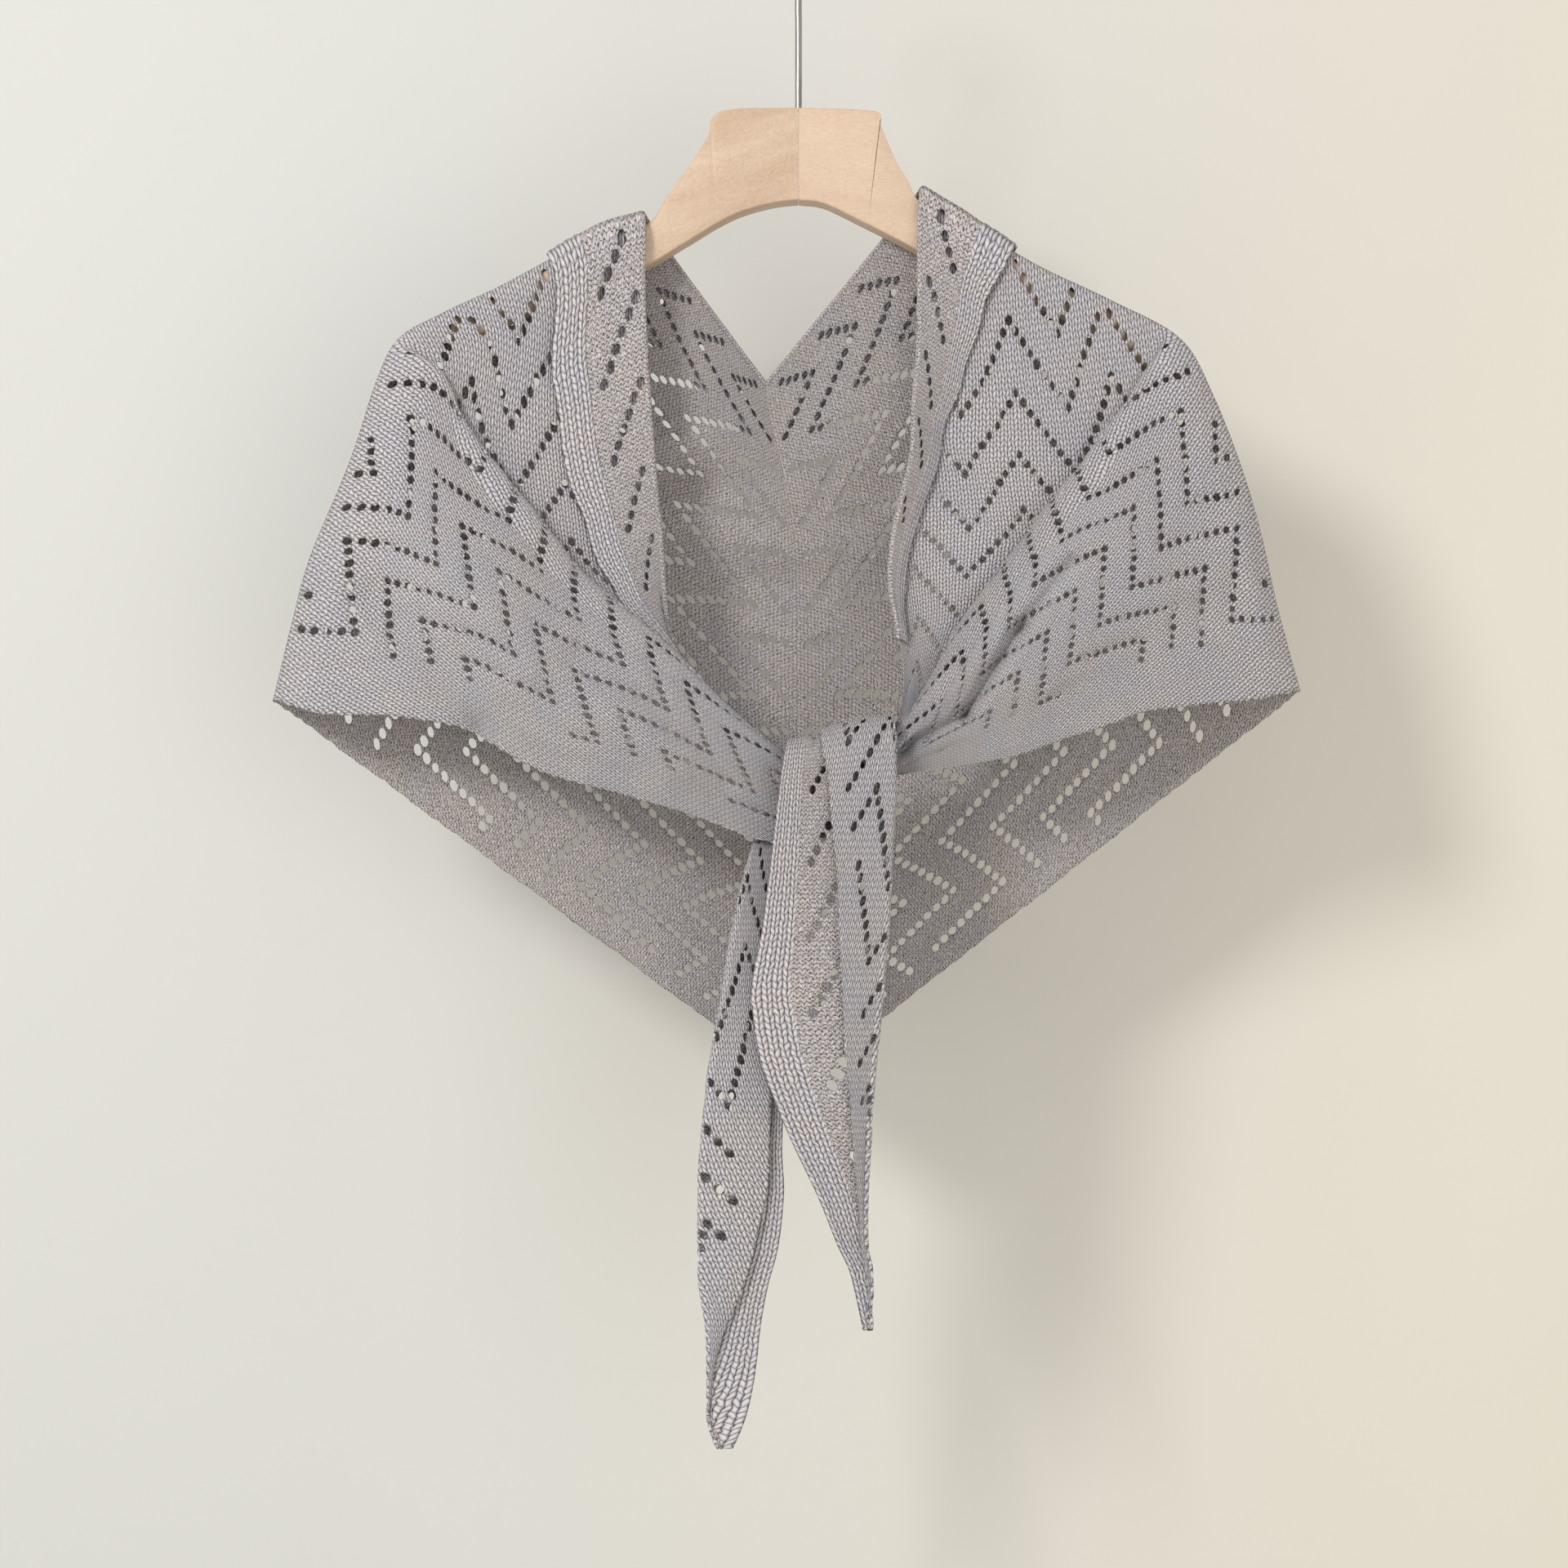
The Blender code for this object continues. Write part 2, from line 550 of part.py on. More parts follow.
def find(surface, u, v, s_range, t_range):
    """The (s, t) at which each flat point (u, v) lies, by Newton steps from the nearest sample."""
    s0, t0 = np.meshgrid(np.linspace(*s_range, 60), np.linspace(*t_range, 60))
    s0, t0 = s0.ravel(), t0.ravel()
    us, vs = surface.flat(s0, t0)
    near = ((us[None] - u[:, None]) ** 2 + (vs[None] - v[:, None]) ** 2).argmin(axis=1)
    s, t = s0[near].copy(), t0[near].copy()
    e = 1e-5
    for _ in range(8):
        fu, fv = surface.flat(s, t)
        us, vs = surface.flat(s + e, t)
        ut, vt = surface.flat(s, t + e)
        a, b, c, d = (us - fu) / e, (ut - fu) / e, (vs - fv) / e, (vt - fv) / e
        det = a * d - b * c
        det = np.where(np.abs(det) < 1e-9, 1e-9, det)
        du, dv = u - fu, v - fv
        s = s + np.clip((d * du - b * dv) / det, -0.1, 0.1)
        t = t + np.clip((a * dv - c * du) / det, -0.1, 0.1)
    fu, fv = surface.flat(s, t)
    good = (np.abs(fu - u) < 0.2) & (np.abs(fv - v) < 0.2)
    return s, t, good


def hole_loops(surface, centres, allowed, mirrored=False):
    """Eyelet outlines in (s, t), kept where the whole eyelet lies in an allowed patch."""
    loops = []
    turn = np.arange(EYELET_SIDES) * 2 * math.pi / EYELET_SIDES
    u = (centres[:, :1] + EYELET_LONG / 2 * np.cos(turn)).ravel() * (-1 if mirrored else 1)
    v = (centres[:, 1:] + EYELET_WIDE / 2 * np.sin(turn)).ravel()
    clear = centres[:, 1] < cut_depth(centres[:, 0]) - HEM_MARGIN
    for s_low, s_high, t_low, t_high in allowed:
        s, t, good = find(surface, u, v, (s_low, s_high), (t_low, t_high))
        good &= (s > s_low) & (s < s_high) & (t > t_low) & (t < t_high)
        kept = good.reshape(-1, EYELET_SIDES).all(axis=1) & clear
        loops += list(np.stack([s, t], axis=-1).reshape(-1, EYELET_SIDES, 2)[kept])
    return loops


def triangulate(s_lines, t_lines, scale, loops):
    """Triangles over a grid in (s, t), with the loops left open."""
    s_last, t_last = len(s_lines) - 1, len(t_lines) - 1
    rim = [(i, 0) for i in range(s_last)] + [(s_last, j) for j in range(t_last)]
    rim += [(i, t_last) for i in range(s_last, 0, -1)] + [(0, j) for j in range(t_last, 0, -1)]
    on_rim = set(rim)
    spots = [(s_lines[i], t_lines[j]) for i, j in rim]
    rings = [list(range(len(rim)))]
    centres = [loop.mean(axis=0) for loop in loops]
    reach = [np.abs((loop - c) * scale).max() + EYELET_CLEAR for loop, c in zip(loops, centres)]
    for i in range(len(s_lines)):
        for j in range(len(t_lines)):
            if (i, j) in on_rim:
                continue
            spot = np.array([s_lines[i], t_lines[j]])
            if all(np.hypot(*((spot - c) * scale)) > r for c, r in zip(centres, reach)):
                spots.append(tuple(spot))
    for loop in loops:
        rings.append(list(range(len(spots), len(spots) + len(loop))))
        spots.extend(map(tuple, loop))
    edges = [(ring[k - 1], ring[k]) for ring in rings for k in range(len(ring))]
    flat = [Vector((s * scale[0], t * scale[1])) for s, t in spots]
    out = delaunay_2d_cdt(flat, edges, [], 0, 1e-7)
    triangles = [tuple(f) for f in out[2]]
    points = np.array([[p.x / scale[0], p.y / scale[1]] for p in out[0]])
    kept = []
    for tri in triangles:
        middle = points[list(tri)].mean(axis=0)
        if not any(inside(middle, loop) for loop in loops):
            kept.append(tri)
    return points, kept


def inside(point, loop):
    """Whether a point lies in a convex loop."""
    run = np.roll(loop, -1, axis=0) - loop
    to = point - loop
    side = run[:, 0] * to[:, 1] - run[:, 1] * to[:, 0]
    return bool((side > 0).all() or (side < 0).all())


def shell(name, surface, s_lines, t_lines, scale, loops=(), relief=None, facing=1):
    """A closed wall of even thickness on a surface, with each loop cut through.

    relief gives the height of what stands out of one side at each (s, t), and facing is 1 where
    that side is the one the surface's normal points to, -1 where it is the other.
    """
    points, triangles = triangulate(s_lines, t_lines, np.array(scale, float), list(loops))
    s, t = points.T
    middle = surface(s, t)
    n = normals(surface, s, t) * facing
    raised = relief(s, t) if relief else np.zeros_like(s)
    outer = middle + n * (WALL / 2 + raised)[..., None] * MM
    inner = middle - n * (WALL / 2 * MM)
    count = len(points)
    faces = []
    for a, b, c in triangles:
        faces.append((a, b, c))
        faces.append((count + c, count + b, count + a))
    sides = {(tri[k - 1], tri[k]) for tri in triangles for k in range(3)}
    for p, q in sorted(sides):
        if (q, p) not in sides:
            faces.append((q, p, count + p))
            faces.append((q, count + p, count + q))
    mesh = bpy.data.meshes.new(name)
    mesh.from_pydata(np.vstack([outer, inner]).tolist(), [], faces)
    face_outwards(mesh)
    return add(name, mesh, GREY, 0.9)


def face_outwards(mesh):
    mesh.calc_loop_triangles()
    volume = 0.0
    for tri in mesh.loop_triangles:
        a, b, c = (mesh.vertices[i].co for i in tri.vertices)
        volume += a.dot(b.cross(c))
    if volume < 0:
        mesh.flip_normals()


def add(name, mesh, colour, roughness, metallic=0.0):
    item = bpy.data.objects.new(name, mesh)
    bpy.context.scene.collection.objects.link(item)
    material = bpy.data.materials.new(name)
    material.use_nodes = True
    shader = material.node_tree.nodes["Principled BSDF"]
    shader.inputs["Base Color"].default_value = (*colour, 1)
    shader.inputs["Roughness"].default_value = roughness
    shader.inputs["Metallic"].default_value = metallic
    mesh.materials.append(material)
    return item


def skin(name, rings, colour, roughness, metallic=0.0):
    """A closed solid through rings of equal length, with flat ends."""
    sides = len(rings[0])
    points = [tuple(p) for ring in rings for p in ring]
    faces = [tuple(range(sides))[::-1]]
    for k in range(len(rings) - 1):
        for i in range(sides):
            j = (i + 1) % sides
            faces.append((k * sides + i, k * sides + j, (k + 1) * sides + j, (k + 1) * sides + i))
    faces.append(tuple((len(rings) - 1) * sides + i for i in range(sides)))
    mesh = bpy.data.meshes.new(name)
    mesh.from_pydata(points, [], faces)
    face_outwards(mesh)
    return add(name, mesh, colour, roughness, metallic)


def knot_core():
    turn = np.arange(CORE_SIDES) * 2 * math.pi / CORE_SIDES
    rings = []
    for across, centre, high, deep in KNOT_CORE:
        rings.append(place(np.full(CORE_SIDES, across), centre + high * np.sin(turn),
                           CORE_DEPTH + deep * np.cos(turn)))
    return skin("knot_core", rings, GREY, 0.9)


def hanger_half(name, sign, yoke, side):
    """One half of the hanger: the yoke that shows and the arm under the cloth."""
    under = line({"left": LEFT, "right": RIGHT}[side]["side"])
    shoulder = [tuple(under(f)) for f in np.linspace(0.06, 0.39, 6)]
    top = yoke["top"] + [(x, d + ARM_DROP) for x, d in shoulder if abs(x) < ARM_TIP_ACROSS]
    tip_across, tip_down = top[-1]
    across, down = yoke["low"][-1]
    low = list(yoke["low"])
    for w in (0.35, 0.7, 1.0):
        bow = ARM_BOW * math.sin(math.pi * w)
        low.append((across + (tip_across - across) * w,
                    down + (tip_down + ARM_TIP_HIGH - down) * w - bow))
    top_line, low_line = line(top), line(low)
    rings = []
    for share in np.linspace(0, 1, ARM_SECTIONS):
        upper, lower = top_line(share), low_line(share)
        if share == 0:
            upper[0] = lower[0] = sign * SEAM / 2
        hidden = np.clip((abs(upper[0]) - YOKE_SHOWN) / YOKE_TAPER, 0, 1)
        rim = YOKE_EDGE + (ARM_EDGE - YOKE_EDGE) * hidden
        ring = []
        for spot, shift, toward in (
            (upper, rim, -1), (upper, 0, -(1 - rim / ARM_THICK * 2)),
            (upper, 0, 1 - rim / ARM_THICK * 2), (upper, rim, 1),
            (lower, -YOKE_EDGE, 1), (lower, 0, 1 - YOKE_EDGE / ARM_THICK * 2),
            (lower, 0, -(1 - YOKE_EDGE / ARM_THICK * 2)), (lower, -YOKE_EDGE, -1),
        ):
            middle = -ARM_BEND * abs(spot[0])
            at = place(spot[0], spot[1] + shift, middle - ARM_THICK / 2)
            at[1] = (middle + toward * ARM_THICK / 2) * MM
            ring.append(at)
        rings.append(ring)
    return skin(name, rings, WOOD, 0.55)


def hook():
    """The steel hook: a shank out of the wood, a short bend, and most of a circle."""
    centre = -(HOOK_RADIUS - WIRE / 2)
    points = [(0, -(WOOD_TOP - WIRE_SEAT)), (0, -105), (0, -90), (0, -76), (0, -SHANK_TOP)]
    points += [(1.5, -55), (6, -48.5)]
    for degrees in range(-58, 196, 14):
        a = math.radians(degrees)
        points.append((HOOK_RADIUS * math.cos(a), centre + HOOK_RADIUS * math.sin(a)))
    path = line(points)
    shares = np.linspace(0, 1, HOOK_SECTIONS)
    spots, ahead = path(shares), path(shares + 0.002) - path(shares - 0.002)
    turn = np.arange(WIRE_SIDES) * 2 * math.pi / WIRE_SIDES
    rings = []
    for (x, z), (dx, dz) in zip(spots, ahead):
        size = math.hypot(dx, dz)
        side = WIRE / 2 * np.cos(turn)
        deep = WIRE / 2 * np.sin(turn)
        rings.append(np.stack([x + side * dz / size, deep, z - side * dx / size], axis=-1) * MM)
    return skin("hook_wire", rings, STEEL, 0.3, 1.0)


def ribs(s, t):
    """Height of the border's ribs across a collar."""
    w = np.clip((t - RIB_START) / (1 - RIB_START), 0, 1)
    return RIB_HEIGHT * np.sin(math.pi * BORDER_RIBS * w) ** 2


def both_ways(lines):
    """Lines from 0 to 1, carried on from -1 to 0."""
    return [-x for x in lines[:0:-1]] + lines


def build():
    clear_scene()
    fronts = {side: Front(side) for side in ("left", "right")}
    back = Back(fronts)
    first, last = PANEL_SHARE

    near, far, top, bottom = BACK_LACE
    centres = eyelets(0, HALF_EDGE)
    loops = hole_loops(back, centres, [BACK_LACE])
    loops += hole_loops(back, centres, [(-far, -near, top, bottom)], True)
    back_t = [float(fronts["left"].edge_share(t)) for t in OVER_T + [first, last] + BELOW_T]
    shell("back", back, both_ways(BACK_S), back_t, BACK_SIZE, loops)

    panel_t = OVER_T + list(np.linspace(first, last, PLEAT_LINES)) + BELOW_T
    for side, front in fronts.items():
        loops = hole_loops(front, centres, [BELOW_LACE, ABOVE_LACE[side]])
        shell(f"front_{side}", front, FRONT_S, panel_t, FRONT_SIZE, loops)

    collar_t = COLLAR_T + list(np.linspace(RIB_START, 1, 2 * BORDER_RIBS + 1))
    for side, front in fronts.items():
        end = COLLAR_END[side]
        collar_s = [s / end for s in FRONT_S if s <= end]
        piece = Collar(front, COLLAR_REACH[side], COLLAR_OUT[side], end, first)
        shell(f"collar_{side}", piece, collar_s, collar_t, SIDE_COLLAR_SIZE, (), ribs,
              COLLAR_OUT[side])
    piece = Collar(back, COLLAR_REACH["back"], COLLAR_OUT["back"], 1.0, 1.0)
    shell("collar_back", piece, both_ways(BACK_S), collar_t, BACK_COLLAR_SIZE, (), ribs)

    tail_t = TAIL_T + list(np.linspace(*TAIL_SHARE, FOLD_LINES)) + TAIL_FRONT_T
    for end in ENDS:
        band = Band(end.rows, end.first_u, end.last_u)
        loops = hole_loops(band, centres, end.patches)
        shell(end.name, band, list(np.linspace(0, 1, end.sections)), tail_t, TAIL_SIZE, loops)
    knot_core()

    hanger_half("hanger_left", -1, YOKE_LEFT, "left")
    hanger_half("hanger_right", 1, YOKE_RIGHT, "right")
    hook()


build()
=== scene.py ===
"""The looks of the hand-knitted lace shawl on its wooden hanger.

Every stretch of cloth is built again from the surfaces that its solid has, finer, with all its
eyelets cut through and with unevenness added. Lengths are in millimetres and turned into metres
as each point is placed; across and down are as seen from the front, and u and v are lengths in
the flat cut, along the neck edge from the spine and across from it.
"""

import math
from collections import namedtuple

import bpy
import numpy as np
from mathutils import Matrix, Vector
from mathutils.geometry import delaunay_2d_cdt


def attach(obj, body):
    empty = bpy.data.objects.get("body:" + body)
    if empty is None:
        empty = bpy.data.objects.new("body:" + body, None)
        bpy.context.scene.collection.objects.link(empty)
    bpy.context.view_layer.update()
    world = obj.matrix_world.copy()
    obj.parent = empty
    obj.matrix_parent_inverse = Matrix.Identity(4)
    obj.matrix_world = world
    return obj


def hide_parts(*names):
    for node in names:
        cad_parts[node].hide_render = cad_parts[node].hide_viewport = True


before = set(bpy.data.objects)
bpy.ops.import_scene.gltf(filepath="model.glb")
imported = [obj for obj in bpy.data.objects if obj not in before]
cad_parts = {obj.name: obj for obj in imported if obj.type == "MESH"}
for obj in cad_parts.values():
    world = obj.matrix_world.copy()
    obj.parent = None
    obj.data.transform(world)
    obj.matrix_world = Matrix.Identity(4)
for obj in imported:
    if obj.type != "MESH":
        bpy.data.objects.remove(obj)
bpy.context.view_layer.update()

MM = 0.001

# Where the shawl is seen from, for sizes given as seen
EYE_ACROSS = -8.0
EYE_DOWN = 495.0
EYE_AWAY = 1450.0

# Cloth
WALL = 1.6  # thickness of the knitting
SEAM = 0.1  # clear space where two stretches meet
COLLAR_STEP = 3.2  # from the middle of a panel to the middle of the collar turned over it
PLEAT_START = 10.0  # cloth taken across by a pleat where it opens out flat

# The flat cut: half of the neck edge, the depth at the spine, and the collar's width
HALF_EDGE = 880.0
CUT_DEPTH = 500.0
COLLAR_WIDTH = 50.0

# Lace: rows of eyelets in zigzags, tips pointing away from the spine
LACE_REPEAT = 31.0  # from one zigzag to the next, along u
LACE_PERIOD = 56.0  # from one tip to the next, across v
LACE_STEPS = 8  # eyelets from a tip to the next valley
EYELET_ALONG = 5.0  # each eyelet lies this much further back along u than the last
EYELET_LONG = 5.6
EYELET_WIDE = 5.0
LACE_START = 16.0  # the first tips, from the neck edge
LACE_EDGE = 20.0  # no eyelets nearer the neck edge than this
HEM_MARGIN = 12.0  # plain knitting along the hem
EYELET_SIDES = 4
EYELET_CLEAR = 1.2  # from an eyelet to the nearest other point of the cloth
CUT_STEPS = (-5, 0, 5)  # the eyelets that are cut, counted from each tip

# Border of knitted ribs along the neck edge
BORDER_WIDTH = 16.0
BORDER_RIBS = 4
RIB_HEIGHT = 0.7
RIB_START = 1 - BORDER_WIDTH / COLLAR_WIDTH

# Hanger
ARM_THICK = 16.0
ARM_BEND = 0.16  # how far an arm comes forward for each millimetre across
ARM_TIP_ACROSS = 208.0
ARM_DROP = 3.0  # from the cloth's top line down to the wood
ARM_TIP_HIGH = 20.0
ARM_BOW = 4.0  # how far the arm's lower edge bows up between the yoke and its tip
ARM_SECTIONS = 22
YOKE_EDGE = 1.2  # rounding of the wood's edges where they show
ARM_EDGE = 4.5  # and along the top under the cloth
YOKE_SHOWN = 68.0  # how far out from the middle the edges stay sharp
YOKE_TAPER = 12.0  # and how far on they are fully round
WRAP = 12.0  # cloth's bend over an arm
WIRE = 3.8
HOOK_RADIUS = 21.9
SHANK_TOP = 62.0
HOOK_SECTIONS = 34
WIRE_SIDES = 8
WOOD_TOP = 124.06  # true height of the wood's flat top
WIRE_SEAT = 0.3  # clear space under the wire

Crease = namedtuple("Crease", "across1 down1 across2 down2 wide rise")
Row = namedtuple("Row", "down border fold free depth gap slope")

# Outlines of each side, as seen: the shoulder and side silhouette, the turned collar's fold,
# the ridge of the big pleat, and the front hem. The silhouette starts at the neck.
LEFT = {
    "side": [(-86, 183), (-107, 190.5), (-138, 207), (-166, 222), (-196, 236), (-220, 250),
             (-232, 273), (-247, 318), (-269, 371), (-279, 408), (-289, 449)],
    "fold": [(-86, 183), (-86, 220), (-84, 259), (-79, 325), (-76, 354), (-72, 408),
             (-62, 436), (-32, 464), (6, 489)],
    "ridge": [(-220, 250), (-196, 264), (-178, 302), (-148, 341), (-118, 378), (-82, 410),
              (-44, 447), (-18, 470), (8, 491)],
    "hem": [(-289, 449), (-263, 456), (-219, 458), (-186, 464), (-162, 477), (-134, 491),
            (-95, 501), (-57, 513), (-16, 527), (9, 527)],
}
RIGHT = {
    "side": [(68, 169), (87, 182), (105, 194), (134, 211), (172, 229), (210, 250),
             (228, 281), (244, 322), (254, 356), (264, 400), (276, 444)],
    "fold": [(68, 169), (67, 200), (66, 251), (63, 284), (62, 310), (56, 337), (51, 360),
             (50, 385), (54, 408), (57, 436), (54, 458), (45, 477)],
    "ridge": [(210, 250), (190, 276), (161, 315), (141, 338), (115, 371), (89, 408),
              (66, 448), (54, 465), (44, 480)],
    "hem": [(276, 444), (246, 449), (197, 454), (172, 462), (148, 470), (121, 479), (98, 484),
            (74, 487), (44, 492)],
}
SPINE = [(-18, 274), (-16, 290), (-11, 312), (-4, 348), (-1, 400), (-1, 661)]

# Depth down the spine, and of the edge that back and front share, by share of the length
SPINE_DEPTH = [(0, 6.5), (0.12, 6), (0.3, 14), (0.45, 22), (0.7, 24), (1, 18)]
EDGE_DEPTH = {
    "left": [(0, -13.8), (0.4, -34.5), (0.7, -33), (1, -24)],
    "right": [(0, -11), (0.45, -33.5), (0.7, -33), (1, -24)],
}
# Bend of the cloth round that edge, across and in depth
BEND_ACROSS = [(0, WRAP), (0.38, WRAP), (0.55, 40), (1, 46)]
BEND_DEPTH = [(0, WRAP), (0.38, WRAP), (0.55, 22), (1, 24)]
SHOULDER_SHARE = 0.43  # where the arm ends along that edge

# The big pleat, by share of the way from the side to the knot
PLEAT_SWING = [(0, 0), (0.06, 2), (0.3, 12), (0.75, 12), (1, 5)]
PLEAT_DEPTH = [(0, 0), (0.06, 5), (0.3, 15), (0.75, 15), (1, 11)]
KNOT_DEPTH = -60.0
BELLY = 9.0
PANEL_SHARE = (0.36, 0.52)  # where the pleat starts and ends, by share across the panel

# Where a front's cloth lies in the flat cut, above and below the pleat: a length there is
# start + along * s + across * w + twist * s * w + bow * s * s, with w from one edge of that
# part to the other. Above the pleat v runs from the width that is turned over as a collar to
# where the pleat starts, both by s.
Lay = namedtuple("Lay", "start along across twist bow")
ABOVE_U = Lay(125, 194, 66, -38, 100)
TURNED_V = {
    "left": [(0, COLLAR_WIDTH), (1, COLLAR_WIDTH)],
    "right": [(0, COLLAR_WIDTH), (0.4, COLLAR_WIDTH), (0.79, 20), (1, 20)],
}
PLEAT_V = [(0, 190), (0.5, 98), (0.7, 74), (1, 68)]
BELOW_U = Lay(201, 331, 106, -68, -24)
BELOW_V = Lay(194, -19, 148, -86, -35)
SIDE_U = [(0, 125), (0.42, 196), (1, 307)]  # u along the side, by share of its length

# How far the turned collar reaches over the panel beneath it
COLLAR_REACH = {
    "left": [(0, 0.38), (0.2, 0.52), (0.4, 0.66), (0.52, 0.78), (0.6, 0.9), (0.7, 0.95)],
    "right": [(0, 0.39), (0.15, 0.31), (0.28, 0.25), (0.4, 0.2), (0.6, 0.17), (0.79, 0.17)],
    "back": [(-1, 0.155), (-0.5, 0.13), (0, 0.125), (0.5, 0.13), (1, 0.165)],
}
COLLAR_END = {"left": 0.7, "right": 0.79}
COLLAR_OUT = {"left": -1, "right": 1, "back": 1}  # which way each panel's outside lies
COLLAR_LIFT = 1.2  # how far the flap stands up between its fold and its edge

UNDER_COLLAR = 0.15  # share of the back's depth that lies under its collar

# Soft creases, as seen, with their rise towards the viewer
FRONT_CREASES = [
    Crease(-236, 392, -174, 463, 11, -6),
    Crease(-174, 463, -130, 490, 9, -4),
    Crease(-214, 352, -150, 430, 16, 4),
    Crease(-160, 400, -70, 486, 13, 4),
    Crease(-120, 424, -40, 492, 8, -3),
    Crease(150, 372, 122, 409, 5, -6),
    Crease(122, 409, 92, 457, 4.5, -11),
    Crease(92, 457, 56, 476, 4, -8),
    Crease(138, 362, 80, 438, 9, 5),
    Crease(214, 330, 130, 436, 16, 4),
    Crease(236, 392, 140, 452, 12, -4),
]
BACK_CREASES = [
    Crease(-80, 312, -18, 294, 12, 10),
    Crease(-18, 294, 40, 272, 14, 6),
    Crease(-80, 330, 12, 326, 9, -6),
    Crease(-74, 350, 10, 366, 13, 5),
    Crease(-40, 388, 58, 376, 12, -4),
    Crease(34, 334, 74, 308, 14, -5),
    Crease(-150, 360, -60, 420, 18, 4),
    Crease(70, 420, 150, 350, 18, 4),
    Crease(-120, 560, -40, 600, 16, 3),
    Crease(60, 560, 120, 500, 16, 3),
]

# The tied ends, each a band folded lengthwise: its border, fold and free edge across
KNOT_WRAP = [
    Row(503, -1, 47, 24, -47, 3.0, 0),
    Row(490, -2, 49, 22, -45, 3.0, 2),
    Row(476, -3, 51.6, 18, -46, 3.2, 6),
    Row(465, -4, 52.4, 14, -53, 3.6, 11),
    Row(461, -5, 52.4, 13, -65, 4.0, 12),
    Row(462, -6, 53, 13, -78, 4.0, 12),
    Row(471, -8, 54, 13, -87, 4.4, 10),
    Row(488, -10, 54, 16, -90.5, 5.0, 5),
    Row(508, -12, 54, 18, -90.5, 5.6, 1),
    Row(529, -14, 53.5, 20, -88, 6.0, 0),
]
RIGHT_TAIL = [
    Row(529.6, -14, 53.5, 20, -88, 6.0, 0),
    Row(552, -17, 52, 21.5, -85, 6.2, 0),
    Row(580, -21, 50, 23, -83, 6.4, 0),
    Row(607, -26, 47.5, 24, -82, 6.4, 0),
    Row(628, -24.5, 45.5, 25.5, -81, 6.2, 0),
    Row(651, -20, 43.5, 27, -81, 6.0, 0),
    Row(687, -6, 40.5, 30, -80, 5.4, 0),
    Row(723, 11, 39, 33, -80, 4.6, 0),
    Row(748, 21, 38.8, 34.5, -79, 4.0, 0),
    Row(763, 28, 42, 37, -79, 3.4, 0),
    Row(780, 32, 42, 38.5, -78, 2.9, 0),
    Row(796, 35.5, 41.5, 39.5, -78, 2.6, 0),
]
LEFT_TAIL = [
    Row(503.3, 8, -15, 2, -48, 4.0, 0),
    Row(520, 3, -22, 0, -52, 4.6, 0),
    Row(536, 0, -28, -4, -61, 5.2, 0),
    Row(560, -1, -34, -8, -63, 6.0, 0),
    Row(607, -3, -43, -12, -64, 7.0, 0),
    Row(650, -7, -50, -15, -65, 7.4, 0),
    Row(694, -9, -54.5, -16, -66, 7.2, 0),
    Row(720, -8, -56, -18, -67, 6.8, 0),
    Row(749, -11, -56, -24, -68, 6.0, 0),
    Row(772, -17, -55, -31, -68, 5.2, 0),
    Row(794, -21, -52, -40, -68, 4.2, 0),
    Row(813, -23, -51, -46, -68, 3.2, 0),
    Row(832, -26, -51.5, -48.5, -68, 2.6, 0),
    Row(847, -30, -51, -48.5, -67, 2.5, 0),
    Row(861, -36, -46, -43.5, -67, 2.5, 0),
]
TAIL_SHARE = (0.56, 0.66)  # where the fold starts and ends, by share across the band

# The bundle inside the knot: centre, half height and half depth at each place across
KNOT_CORE = [
    (10.5, 507, 17, 7.5), (14, 505, 20, 9), (22, 499, 21, 9.5),
    (32, 491, 18, 9.5), (39, 484, 14, 9), (42.5, 479, 10, 7.5),
]
CORE_DEPTH = -70.0
CORE_SIDES = 16

# The visible yoke of the hanger, from its middle out, as seen: top edge and lower edge
YOKE_LEFT = {
    "top": [(0, 122), (-43, 124), (-50, 138), (-59, 152), (-71, 168), (-83, 185)],
    "low": [(0, 173), (-13, 174.5), (-30, 179), (-44, 185.5), (-63, 197), (-86, 210)],
}
YOKE_RIGHT = {
    "top": [(0, 122), (42, 124), (45, 131), (53, 150), (60, 162), (67, 174)],
    "low": [(0, 173), (14, 175), (33, 184), (53, 194), (66, 201), (86, 212)],
}



def line(points, steps=12):
    """A smooth line through the points, read by the share of its length."""
    p = np.array(points, float)
    ends = np.vstack([2 * p[0] - p[1], p, 2 * p[-1] - p[-2]])
    w = np.linspace(0, 1, steps, endpoint=False)[:, None]
    runs = []
    for a, b, c, d in zip(ends, ends[1:], ends[2:], ends[3:]):
        bend = (2 * a - 5 * b + 4 * c - d) * w**2 + (3 * b - a - 3 * c + d) * w**3
        runs.append(0.5 * (2 * b + (c - a) * w + bend))
    fine = np.vstack(runs + [p[-1:]])
    length = np.concatenate([[0], np.cumsum(np.linalg.norm(np.diff(fine, axis=0), axis=1))])

    def at(share):
        where = np.clip(share, 0, 1) * length[-1]
        return np.stack([np.interp(where, length, column) for column in fine.T], axis=-1)

    at.length = length[-1]
    return at


def eased(stops, share):
    """A value that runs smoothly through (share, value) stops."""
    where, value = np.array(stops, float).T
    i = np.clip(np.searchsorted(where, share, side="right") - 1, 0, len(where) - 2)
    w = np.clip((share - where[i]) / (where[i + 1] - where[i]), 0, 1)
    w = w * w * (3 - 2 * w)
    return value[i] + (value[i + 1] - value[i]) * w


